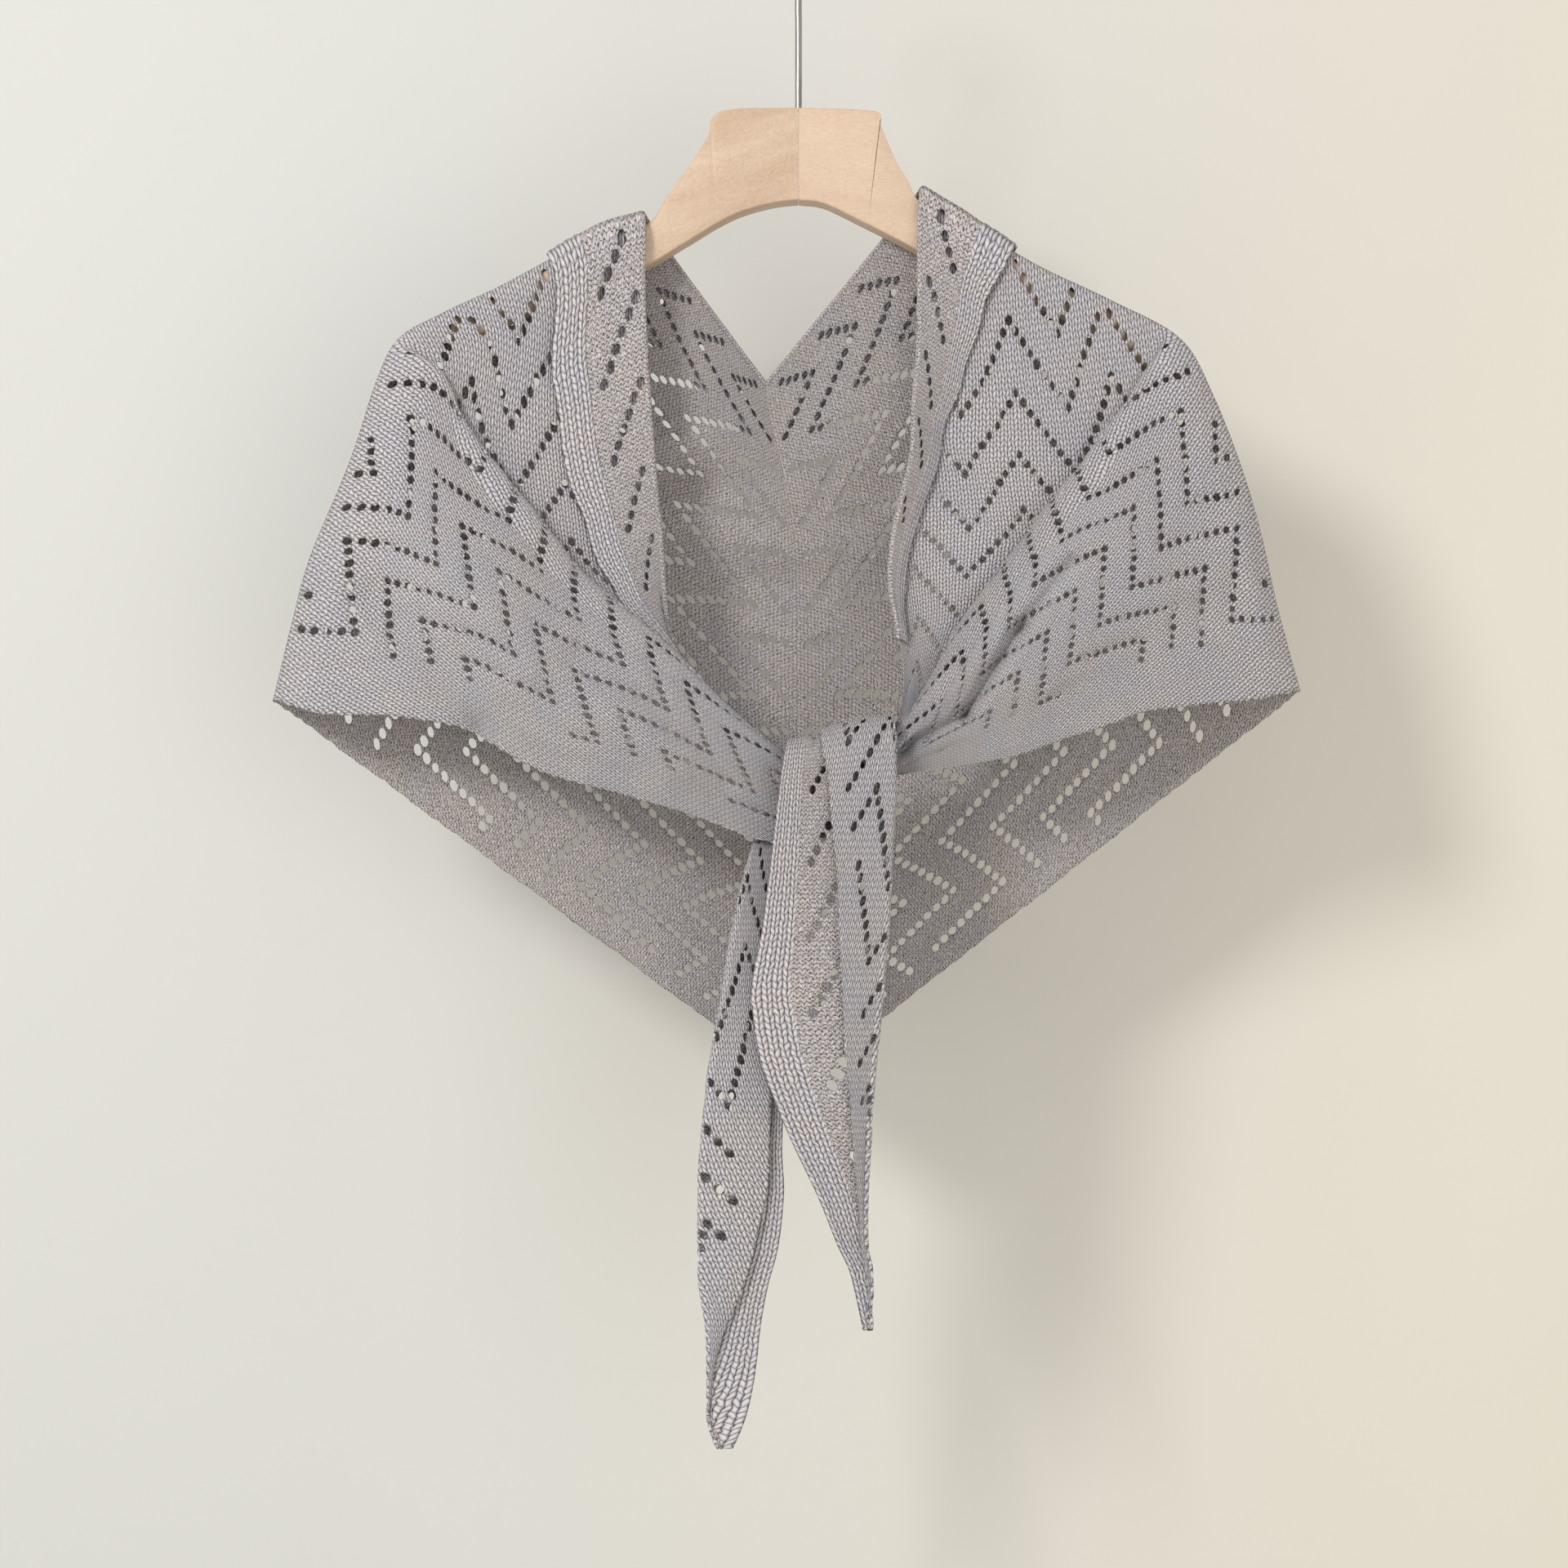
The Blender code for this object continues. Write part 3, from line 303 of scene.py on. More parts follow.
def place(across, down, depth):
    """The true position, in metres, of a point that is seen across and down."""
    k = (EYE_AWAY + depth) / EYE_AWAY
    x = EYE_ACROSS + (across - EYE_ACROSS) * k
    z = -(EYE_DOWN + (down - EYE_DOWN) * k)
    return np.stack([x, depth, z], axis=-1) * MM


def creased(creases, across, down):
    """How far the creases bring each point towards the viewer."""
    rise = np.zeros_like(across)
    for c in creases:
        run = np.array([c.across2 - c.across1, c.down2 - c.down1], float)
        w = ((across - c.across1) * run[0] + (down - c.down1) * run[1]) / (run @ run)
        w = np.clip(w, 0, 1)
        off = np.hypot(across - c.across1 - w * run[0], down - c.down1 - w * run[1])
        rise += c.rise * np.exp(-((off / c.wide) ** 2))
    return rise


def bend_round(distance, across, depth):
    """How far the cloth has come round an edge of that bend, at that distance from it."""
    w = np.clip(distance / across, 0, 1)
    return depth * (1 - (1 - w) ** 2.6) ** (1 / 2.6)


class Front:
    """A front, from the shoulder and side to the knot, with the big pleat across it.

    s runs from the side to the knot and t from the collar's fold to the hem.
    """

    def __init__(self, side):
        shape = {"left": LEFT, "right": RIGHT}[side]
        self.side = side
        self.lines = {name: line(points) for name, points in shape.items()}

    def edge_share(self, t):
        """The share of the side line at t, where the pleat has opened out flat."""
        lead = 0.75 * PLEAT_START / self.lines["side"].length
        tail = 0.25 * PLEAT_START / self.lines["side"].length
        stops = [0, *PANEL_SHARE, 1]
        return np.interp(t, stops, [0, SHOULDER_SHARE - lead, SHOULDER_SHARE + tail, 1])

    def seen(self, s, t):
        """Across and down at (s, t), and how far into the pleat the point lies."""
        fold, ridge, hem = (self.lines[k](s) for k in ("fold", "ridge", "hem"))
        way = hem - fold
        way = way / np.linalg.norm(way, axis=-1, keepdims=True)
        fold = fold + way * (COLLAR_STEP / 2 + WALL / 2)
        swing = eased(PLEAT_SWING, s)[..., None]
        begin = ridge + way * (swing - 0.75 * PLEAT_START)
        end = begin + way * PLEAT_START
        first, last = PANEL_SHARE
        under = np.clip(t / first, 0, 1)[..., None]
        into = np.clip((t - first) / (last - first), 0, 1)[..., None]
        over = np.clip((t - last) / (1 - last), 0, 1)[..., None]
        at = fold + (begin - fold) * under
        at = at + (end - begin) * into + way * swing * np.sin(2 * math.pi * into)
        return at + (hem - end) * over, into[..., 0], over[..., 0]

    def __call__(self, s, t):
        s, t = np.broadcast_arrays(np.asarray(s, float), np.asarray(t, float))
        at, into, over = self.seen(s, t)
        start, _, _ = self.seen(np.zeros_like(s), t)
        share = self.edge_share(t)
        edge = self.lines["side"](share)
        at = at + (edge - start) * ((1 - s) ** 4)[..., None]
        away = np.linalg.norm(at - edge, axis=-1)
        bend = bend_round(away, eased(BEND_ACROSS, share), eased(BEND_DEPTH, share))
        depth = eased(EDGE_DEPTH[self.side], share) - SEAM / 2 - bend
        near_knot = np.clip(s, 0, 1) ** 1.6
        depth = depth * (1 - near_knot) + KNOT_DEPTH * near_knot
        depth = depth - eased(PLEAT_DEPTH, s) * into
        depth = depth - BELLY * np.sin(math.pi * over) * np.sin(math.pi * s) ** 2
        front_only = np.clip((away - 6) / 20, 0, 1) * (over > 0) * np.clip(over * 8, 0, 1)
        depth = depth - creased(FRONT_CREASES, at[..., 0], at[..., 1]) * front_only
        return place(at[..., 0], at[..., 1], depth)

    def give(self, s, t):
        """How much of the unevenness shows at (s, t)."""
        return np.clip(s / 0.05, 0, 1) * np.clip((1 - s) / 0.1, 0, 1) * np.clip(t / 0.2, 0.2, 1)

    def flat(self, s, t):
        """Where (s, t) lies in the flat cut."""
        s, t = np.broadcast_arrays(np.asarray(s, float), np.asarray(t, float))
        first, last = PANEL_SHARE
        above = np.clip(t / first, 0, 1)
        into = np.clip((t - first) / (last - first), 0, 1)
        below = np.clip((t - last) / (1 - last), 0, 1)
        v = np.interp(s, *np.transpose(TURNED_V[self.side])) * (1 - above)
        v = v + np.interp(s, *np.transpose(PLEAT_V)) * above
        u = laid(ABOVE_U, s, above) * (1 - into) + laid(BELOW_U, s, below) * into
        return u, v * (1 - into) + laid(BELOW_V, s, below) * into


class Back:
    """The back, from the left side (s = -1) past the spine to the right side (s = 1)."""

    def __init__(self, fronts):
        self.fronts = fronts
        self.spine = line(SPINE)

    def __call__(self, s, t):
        s, t = np.broadcast_arrays(np.asarray(s, float), np.asarray(t, float))
        middle = self.spine(t)
        seam_down = COLLAR_STEP / 2 + WALL / 2
        at = np.zeros(s.shape + (2,))
        depth = np.zeros(s.shape)
        spine_depth = eased(SPINE_DEPTH, t)
        for name, sign in (("left", -1), ("right", 1)):
            out = np.clip(sign * s, 0, 1)
            edge = self.fronts[name].lines["side"](t)
            spot = middle + (edge - middle) * out[..., None]
            spot[..., 1] += seam_down * (1 - t) ** 8 * (1 - out**6)
            away = np.linalg.norm(spot - edge, axis=-1)
            bend = bend_round(away, eased(BEND_ACROSS, t), eased(BEND_DEPTH, t))
            far = eased(EDGE_DEPTH[name], t) + SEAM / 2 + bend
            w = out**2
            here = spine_depth * (1 - w) + far * w
            inner = np.clip((away - 4) / 20, 0, 1) * np.clip((t - UNDER_COLLAR) / 0.12, 0, 1)
            here = here - creased(BACK_CREASES, spot[..., 0], spot[..., 1]) * inner
            mine = sign * s >= 0
            at[mine] = spot[mine]
            depth[mine] = here[mine]
        return place(at[..., 0], at[..., 1], depth)

    def give(self, s, t):
        return np.clip((1 - np.abs(s)) / 0.05, 0, 1) * np.clip(t / 0.2, 0.2, 1)

    def flat(self, s, t):
        s, t = np.broadcast_arrays(np.asarray(s, float), np.asarray(t, float))
        u = s * np.interp(t, *np.transpose(SIDE_U))
        return u, COLLAR_WIDTH + (cut_depth(u) - COLLAR_WIDTH) * t


class Collar:
    """The neck edge turned over a panel: a loop at the fold, then a flap moved out from it."""

    LOOP = 0.14  # share across that the loop takes

    def __init__(self, panel, reach, out, end, panel_span):
        self.panel, self.reach, self.out, self.end = panel, reach, out, end
        self.panel_span = panel_span

    def __call__(self, s, t):
        s, t = np.broadcast_arrays(np.asarray(s, float), np.asarray(t, float))
        where = s * self.end
        turn = np.clip(t / self.LOOP, 0, 1)
        flap = np.clip((t - self.LOOP) / (1 - self.LOOP), 0, 1)
        reach = eased(self.reach, where) * self.panel_span
        on = self.panel(where, reach * flap)
        normal = normals(self.panel, where, reach * flap) * self.out
        along = unit(self.panel(where + 1e-3, reach * flap) - self.panel(where - 1e-3, reach * flap))
        inward = self.panel(where, reach * flap + 0.01) - on
        inward = unit(inward - along * (inward * along).sum(axis=-1, keepdims=True))
        radius = COLLAR_STEP / 2 * MM
        turned = turn * math.pi
        loop_out = radius * (1 - np.cos(turned))
        loop_in = -radius * np.sin(turned) - SEAM * MM * (1 - turn)
        lift = COLLAR_LIFT * MM * np.sin(math.pi * flap)
        return on + normal * (loop_out + lift)[..., None] + inward * loop_in[..., None]

    def give(self, s, t):
        return 0.5 * np.clip(t / 0.5, 0, 1)

    def flat(self, s, t):
        u, width = self.panel.flat(s * self.end, np.zeros_like(np.asarray(t, float) + s))
        return u, width * (1 - t)


class Band:
    """A folded band: t runs from its border edge round the fold to its free edge."""

    def __init__(self, rows, first_u, last_u):
        self.rows = line([(r.down, r.depth, r.border, r.fold, r.free, r.gap, r.slope)
                          for r in rows])
        self.first_u, self.last_u = first_u, last_u

    def __call__(self, s, t):
        s, t = np.broadcast_arrays(np.asarray(s, float), np.asarray(t, float))
        down, depth, border, fold, free, gap, slope = np.moveaxis(self.rows(s), -1, 0)
        step = 0.004
        ahead, behind = self.rows(s + step), self.rows(s - step)
        way = np.stack([ahead[..., 0] - behind[..., 0], ahead[..., 1] - behind[..., 1]], -1)
        way = way / np.linalg.norm(way, axis=-1, keepdims=True)
        first, last = TAIL_SHARE
        radius = gap / 2
        side = np.sign(fold - border)
        hinge = fold - side * (radius + WALL / 2)
        behind_part = np.clip(t / first, 0, 1)
        turn = np.clip((t - first) / (last - first), 0, 1) * math.pi
        front_part = np.clip((t - last) / (1 - last), 0, 1)
        across = border + (hinge - border) * behind_part
        across = across + side * radius * np.sin(turn) + (free - hinge) * front_part
        raised = radius * (1 - np.cos(turn)) + 1.5 * np.sin(math.pi * front_part) * (gap / 6)
        curl = 2.0 * (1 - behind_part) ** 3 * np.clip(gap / 6, 0, 1)
        raised = raised + curl
        lower = slope * np.clip((fold - across) / (fold - border), 0, 1)
        return place(across, down + lower + raised * way[..., 1], depth - raised * way[..., 0])

    def give(self, s, t):
        return 0.6 + 0 * s

    def flat(self, s, t):
        u = self.first_u + (self.last_u - self.first_u) * np.asarray(s, float)
        u, t = np.broadcast_arrays(u, np.asarray(t, float))
        return u, cut_depth(u) * t


def laid(lay, s, w):
    """A length in the flat cut, by the shares along and across a part of a front."""
    return lay.start + lay.along * s + lay.across * w + lay.twist * s * w + lay.bow * s * s


def cut_depth(u):
    """The cut's depth from the neck edge to the hem, at u from the spine."""
    return CUT_DEPTH * (1 - np.abs(u) / HALF_EDGE)


def unit(v):
    return v / np.maximum(np.linalg.norm(v, axis=-1, keepdims=True), 1e-12)


def normals(surface, s, t, step=1e-3):
    along = surface(s + step, t) - surface(s - step, t)
    over = surface(s, t + step) - surface(s, np.maximum(t - step, 0))
    return unit(np.cross(along, over))


WALE = 3.5  # one stitch across
COURSE = 2.8  # one row of stitches
KNIT = 1.3  # thickness of the knitting as shown
HOLE_SIDES = 8
SCALLOP = 6.2  # from one bump of a cast-off edge to the next
RNG = np.random.default_rng(11)


def soft(u, v):
    """The cloth's unevenness at a place in the cut: slow waves, and a swell between the lace."""
    slow = (np.sin(u / 19 + 0.7 * np.sin(v / 31)) * np.sin(v / 23 + 1.3)
            + 0.6 * np.sin(u / 11.5 + v / 17 + 2) * np.sin(v / 13 - u / 29))
    turn = np.abs(((v - LACE_START) / LACE_PERIOD + 0.5) % 1 - 0.5) * LACE_PERIOD
    swell = np.cos(2 * math.pi * (np.abs(u) + turn * EYELET_ALONG / 3.5) / LACE_REPEAT)
    return 0.7 * slow - 0.3 * swell


def eyelets(u_low, u_high):
    """Centres of all eyelets of the lace."""
    found = []
    for zigzag in range(math.floor(u_low / LACE_REPEAT) - 1, math.ceil(u_high / LACE_REPEAT) + 3):
        for tip in range(0, 9):
            for i in range(1 - LACE_STEPS, LACE_STEPS + 1):
                u = zigzag * LACE_REPEAT - EYELET_ALONG * abs(i)
                v = LACE_START + LACE_PERIOD * tip + LACE_PERIOD / 2 / LACE_STEPS * i
                fits = LACE_EDGE < v < cut_depth(u) - HEM_MARGIN
                if u > 4 and fits and u_low <= u <= u_high:
                    found.append((u, v))
    return np.array(found)


def newton(surface, u, v, s, t):
    """(s, t) at which each flat point lies, from a first guess."""
    e = 1e-5
    for _ in range(8):
        fu, fv = surface.flat(s, t)
        us, vs = surface.flat(s + e, t)
        ut, vt = surface.flat(s, t + e)
        a, b, c, d = (us - fu) / e, (ut - fu) / e, (vs - fv) / e, (vt - fv) / e
        det = a * d - b * c
        det = np.where(np.abs(det) < 1e-9, 1e-9, det)
        du, dv = u - fu, v - fv
        s = s + np.clip((d * du - b * dv) / det, -0.1, 0.1)
        t = t + np.clip((a * dv - c * du) / det, -0.1, 0.1)
    fu, fv = surface.flat(s, t)
    return s, t, (np.abs(fu - u) < 0.1) & (np.abs(fv - v) < 0.1)


def hole_loops(surface, box, mirrored=False, gape=(0.8, 1.0)):
    """Outlines in (s, t) of the eyelets that lie wholly in a box (s low, high, t low, high)."""
    s0, t0 = np.meshgrid(np.linspace(box[0], box[1], 60), np.linspace(box[2], box[3], 60))
    s0, t0 = s0.ravel(), t0.ravel()
    us, vs = surface.flat(s0, t0)
    side = -1 if mirrored else 1
    c = eyelets(max((us * side).min() - 5, 0), (us * side).max() + 5)
    c = c[(c[:, 1] > vs.min() - 4) & (c[:, 1] < vs.max() + 4)]
    c = c + RNG.uniform(-0.3, 0.3, c.shape)
    long = EYELET_LONG / 2 * RNG.uniform(0.74, 0.96, len(c))
    wide = EYELET_WIDE / 2 * RNG.uniform(*gape, len(c))
    turn = np.arange(HOLE_SIDES) * 2 * math.pi / HOLE_SIDES + 0.39
    cu = c[:, 0] * side
    near = ((us[None] - cu[:, None]) ** 2 + (vs[None] - c[:, 1][:, None]) ** 2).argmin(axis=1)
    s, t, _ = newton(surface, cu, c[:, 1], s0[near], t0[near])
    u = cu[:, None] + long[:, None] * np.cos(turn)
    v = c[:, 1][:, None] + wide[:, None] * np.sin(turn)
    s, t, good = newton(surface, u, v, np.repeat(s[:, None], HOLE_SIDES, 1),
                        np.repeat(t[:, None], HOLE_SIDES, 1))
    good &= (s > box[0]) & (s < box[1]) & (t > box[2]) & (t < box[3])
    keep = good.all(axis=1)
    return np.stack([s, t], axis=-1)[keep]


def triangulate(s_lines, t_lines, scale, loops):
    """Points and triangles over a grid in (s, t), with the loops left open."""
    s_lines, t_lines = np.asarray(s_lines, float), np.asarray(t_lines, float)
    free = np.ones((len(s_lines), len(t_lines)), bool)
    for loop in loops:
        centre, half = loop.mean(axis=0), np.ptp(loop, axis=0) / 2
        i = np.flatnonzero(np.abs(s_lines - centre[0]) < half[0] * 1.5)
        j = np.flatnonzero(np.abs(t_lines - centre[1]) < half[1] * 1.5)
        if len(i) and len(j):
            near = ((s_lines[i, None] - centre[0]) / half[0]) ** 2
            near = near + ((t_lines[None, j] - centre[1]) / half[1]) ** 2
            block = free[np.ix_(i, j)]
            free[np.ix_(i, j)] = block & (near > 1.9)
    free[0, :] = free[-1, :] = free[:, 0] = free[:, -1] = True
    grid = np.stack(np.meshgrid(s_lines, t_lines, indexing="ij"), axis=-1)[free]
    m, n = len(s_lines) - 1, len(t_lines) - 1
    number = np.full(free.shape, -1)
    number[free] = np.arange(len(grid))
    rim = [(i, 0) for i in range(m)] + [(m, j) for j in range(n)]
    rim += [(i, n) for i in range(m, 0, -1)] + [(0, j) for j in range(n, 0, -1)]
    rim = [number[i, j] for i, j in rim]
    edges = [(rim[k - 1], rim[k]) for k in range(len(rim))]
    owner = np.full(len(grid), -1)
    spots = [grid]
    start = len(grid)
    for k, loop in enumerate(loops):
        edges += [(start + i, start + (i + 1) % HOLE_SIDES) for i in range(HOLE_SIDES)]
        start += HOLE_SIDES
    if len(loops):
        spots.append(loops.reshape(-1, 2))
        owner = np.concatenate([owner, np.repeat(np.arange(len(loops)), HOLE_SIDES)])
    spots = np.vstack(spots)
    flat = [Vector(p) for p in (spots * scale).tolist()]
    out = delaunay_2d_cdt(flat, edges, [], 0, 1e-7, True)
    back = np.array([ids[0] for ids in out[3]])
    triangles = back[np.array([tuple(f) for f in out[2]])]
    own = owner[triangles]
    open_hole = (own[:, 0] >= 0) & (own[:, 0] == own[:, 1]) & (own[:, 0] == own[:, 2])
    return spots, triangles[~open_hole]


def cloth(name, surface, s_lines, t_lines, scale, loops, relief=None, facing=1, swap=False):
    """A thin shell with the knit side out and the purl side in, and stitches in its UVs."""
    spots, triangles = triangulate(s_lines, t_lines, np.array(scale, float), loops)
    s, t = spots.T
    u, v = surface.flat(s, t)
    n = normals(surface, s, t) * facing
    middle = surface(s, t) + n * (soft(u, v) * surface.give(s, t))[:, None] * MM
    past = surface(s, t) - surface(s, t - 0.004)
    bumps = np.abs(np.sin(math.pi * u / SCALLOP)) - 0.6 + 0.3 * np.sin(u / 7.3)
    middle = middle + unit(past) * (np.where(t > 0.9999, bumps, 0))[:, None] * MM
    raised = relief(v) if relief else np.zeros_like(s)
    outer = middle + n * (KNIT / 2 + raised)[:, None] * MM
    inner = middle - n * (KNIT / 2 - 0.5 * raised)[:, None] * MM
    count = len(spots)
    a, b, c = triangles.T
    pairs = np.concatenate([np.stack([a, b], 1), np.stack([b, c], 1), np.stack([c, a], 1)])
    sides = set(map(tuple, pairs.tolist()))
    rim = [(p, q) for p, q in pairs.tolist() if (q, p) not in sides]
    faces = triangles.tolist() + (count + triangles[:, ::-1]).tolist()
    faces += [(q, p, count + p, count + q) for p, q in rim]
    mesh = bpy.data.meshes.new(name)
    mesh.from_pydata(np.vstack([outer, inner]).tolist(), [], faces)
    if facing < 0:
        mesh.flip_normals()
    mesh.polygons.foreach_set("use_smooth", [True] * len(mesh.polygons))
    plain = v[triangles].max(axis=1) > BORDER_WIDTH + 0.1
    seen, unseen = (plain, 0 * plain) if swap else (0 * plain, plain)
    side = np.concatenate([seen, unseen, np.zeros(len(rim))]).astype(int).tolist()
    mesh.polygons.foreach_set("material_index", side)
    column = np.where(v < BORDER_WIDTH, v / 4.0, BORDER_WIDTH / 4.0 + (v - BORDER_WIDTH) / WALE)
    stitch = np.stack([column, u / COURSE], axis=-1)
    stitch = np.vstack([stitch, stitch])
    corner = np.empty(len(mesh.loops), int)
    mesh.loops.foreach_get("vertex_index", corner)
    layer = mesh.uv_layers.new(name="stitches")
    layer.data.foreach_set("uv", stitch[corner].ravel())
    item = bpy.data.objects.new(name, mesh)
    bpy.context.scene.collection.objects.link(item)
    cut = np.stack([u, v], axis=-1)
    p, q = cut[b] - cut[a], cut[c] - cut[a]
    area = float(np.abs(p[:, 0] * q[:, 1] - p[:, 1] * q[:, 0]).sum() / 2)
    span = np.ptp(cut, axis=0)
    print(name, "triangles", 2 * len(triangles) + 2 * len(rim), "eyelets", len(loops),
          "flat", round(area / 100), "cm2")
    return item, area * 1e-6, tuple(float(x) * MM for x in span)


class Nodes:
    """Short calls for one material's nodes."""

    def __init__(self, name):
        self.material = bpy.data.materials.new(name)
        self.material.use_nodes = True
        self.tree = self.material.node_tree
        self.shader = self.tree.nodes["Principled BSDF"]

    def put(self, socket, value):
        if hasattr(value, "is_output"):
            self.tree.links.new(value, socket)
        else:
            socket.default_value = value

    def math(self, operation, *values):
        node = self.tree.nodes.new("ShaderNodeMath")
        node.operation = operation
        for socket, value in zip(node.inputs, values):
            self.put(socket, value)
        return node.outputs[0]

    def vector(self, operation, *values):
        node = self.tree.nodes.new("ShaderNodeVectorMath")
        node.operation = operation
        for socket, value in zip(node.inputs, values):
            self.put(socket, value)
        return node.outputs[0]

    def noise(self, where, scale, detail=2.0, colour=False):
        node = self.tree.nodes.new("ShaderNodeTexNoise")
        self.put(node.inputs["Vector"], where)
        node.inputs["Scale"].default_value = scale
        node.inputs["Detail"].default_value = detail
        return node.outputs["Color" if colour else "Fac"]

    def ramp(self, value, *stops):
        node = self.tree.nodes.new("ShaderNodeValToRGB")
        self.put(node.inputs[0], value)
        elements = node.color_ramp.elements
        while len(elements) < len(stops):
            elements.new(0.5)
        for element, (place_at, colour) in zip(elements, stops):
            element.position = place_at
            element.color = (*colour, 1)
        return node.outputs[0]

    def mix(self, factor, first, second, blend="MIX"):
        node = self.tree.nodes.new("ShaderNodeMix")
        node.data_type = "RGBA"
        node.blend_type = blend
        self.put(node.inputs[0], factor)
        self.put(node.inputs[6], first)
        self.put(node.inputs[7], second)
        return node.outputs[2]

    def bump(self, height, distance, strength=1.0, normal=None):
        node = self.tree.nodes.new("ShaderNodeBump")
        node.inputs["Strength"].default_value = strength
        node.inputs["Distance"].default_value = distance
        self.put(node.inputs["Height"], height)
        if normal is not None:
            self.put(node.inputs["Normal"], normal)
        return node.outputs[0]

    def coordinates(self, kind):
        node = self.tree.nodes.new("ShaderNodeTexCoord")
        return node.outputs[kind]

    def split(self, value):
        node = self.tree.nodes.new("ShaderNodeSeparateXYZ")
        self.put(node.inputs[0], value)
        return node.outputs

    def finish(self, colour, roughness, normal, **fixed):
        self.put(self.shader.inputs["Base Color"], colour)
        self.put(self.shader.inputs["Roughness"], roughness)
        self.put(self.shader.inputs["Normal"], normal)
        for name, value in fixed.items():
            self.shader.inputs[name.replace("_", " ")].default_value = value
        return self.material


def srgb(*values):
    """Linear colour from 0-255 screen values."""
    shares = [v / 255 for v in values]
    return tuple(s / 12.92 if s < 0.04045 else ((s + 0.055) / 1.055) ** 2.4 for s in shares)


def yarn_with_painted_shade(n, height, shade_tone_highlight, stops):
    """The wool's colour, mottled cool and warm over the cloth, with shade painted dark into the gaps
    between the strands and a highlight painted on their tops.
    """
    colour = n.ramp(height, *zip(stops, shade_tone_highlight))
    cast = n.ramp(n.noise(n.coordinates("Object"), 34, 2), (0.4, srgb(243, 243, 247)),
                  (0.6, srgb(252, 247, 244)))
    return n.mix(0.8, colour, cast, "MULTIPLY")


KNIT_STOPS = (0.12, 0.46, 0.88)  # heights in the stitch that have the painted shade, the wool's own colour and the painted highlight
# the same three for the purl side: painted shade in the gaps, the wool's own colour, painted
# highlight on the bumps
PURL_STOPS = (0.0, 0.34, 0.8)
PURL_FINE = 1.45  # bumps to a stitch, as the inner side shows them


def knit_side(name, shade_tone_highlight, depth=0.0015):
    """Columns of V stitches, with shade painted into the gaps and highlights painted on the strands.
    """
    n = Nodes(name)
    uv = n.coordinates("UV")
    wander = n.vector("SUBTRACT", n.noise(uv, 0.9, 2, True), (0.5, 0.5, 0.5))
    wander = n.vector("MULTIPLY", wander, (0.5, 0.7, 0.0))
    x, y, _ = n.split(n.vector("ADD", uv, wander))
    across = n.math("SUBTRACT", n.math("FRACT", x), 0.5)
    m = n.math("MULTIPLY", n.math("ABSOLUTE", across), 2.0)
    off = n.math("SUBTRACT", n.math("MULTIPLY", m, 2.0), 1.0)
    strand = n.math("SUBTRACT", 1.0, n.math("MULTIPLY", off, off))
    strand = n.math("POWER", n.math("MAXIMUM", strand, 0.0), 0.6)
    along = n.math("ADD", y, n.math("MULTIPLY", m, 0.62))
    loop = n.math("SINE", n.math("MULTIPLY", n.math("FRACT", along), math.pi))
    loop = n.math("POWER", n.math("MAXIMUM", loop, 0.0), 0.55)
    height = n.math("MULTIPLY", strand, n.math("ADD", 0.3, n.math("MULTIPLY", loop, 0.7)))
    fibres = n.noise(n.vector("MULTIPLY", uv, (9.0, 3.0, 1.0)), 2.2, 3)
    height = n.math("ADD", height, n.math("MULTIPLY", n.math("SUBTRACT", fibres, 0.5), 0.35))
    return n.finish(yarn_with_painted_shade(n, height, shade_tone_highlight, KNIT_STOPS), 0.9, n.bump(height, depth), Sheen_Weight=0.25,
                    Sheen_Roughness=0.5, Specular_IOR_Level=0.2)


def purl_side(name, shade_tone_highlight, depth=0.0012):
    """Rows of small interlocking bumps, with shade painted between them and highlights painted on
    their tops.
    """
    n = Nodes(name)
    uv = n.vector("MULTIPLY", n.coordinates("UV"), (PURL_FINE, PURL_FINE, 1.0))
    wander = n.vector("SUBTRACT", n.noise(uv, 1.1, 2, True), (0.5, 0.5, 0.5))
    wander = n.vector("MULTIPLY", wander, (1.1, 1.1, 0.0))
    x, y, _ = n.split(n.vector("ADD", uv, wander))
    bow = n.math("COSINE", n.math("MULTIPLY", x, 2 * math.pi))
    rows = n.math("ADD", y, n.math("MULTIPLY", bow, 0.24))
    ridge = n.math("SINE", n.math("MULTIPLY", n.math("FRACT", rows), math.pi))
    bead = n.math("ABSOLUTE", n.math("SINE", n.math("MULTIPLY", x, 2 * math.pi)))
    height = n.math("MULTIPLY", ridge, n.math("ADD", 0.45, n.math("MULTIPLY", bead, 0.55)))
    fibres = n.noise(n.vector("MULTIPLY", uv, (2.4, 2.9, 1.0)), 1.0, 3)
    height = n.math("ADD", height, n.math("MULTIPLY", n.math("SUBTRACT", fibres, 0.5), 1.5))
    return n.finish(yarn_with_painted_shade(n, height, shade_tone_highlight, PURL_STOPS), 0.92, n.bump(height, depth), Sheen_Weight=0.2,
                    Sheen_Roughness=0.5, Specular_IOR_Level=0.15)


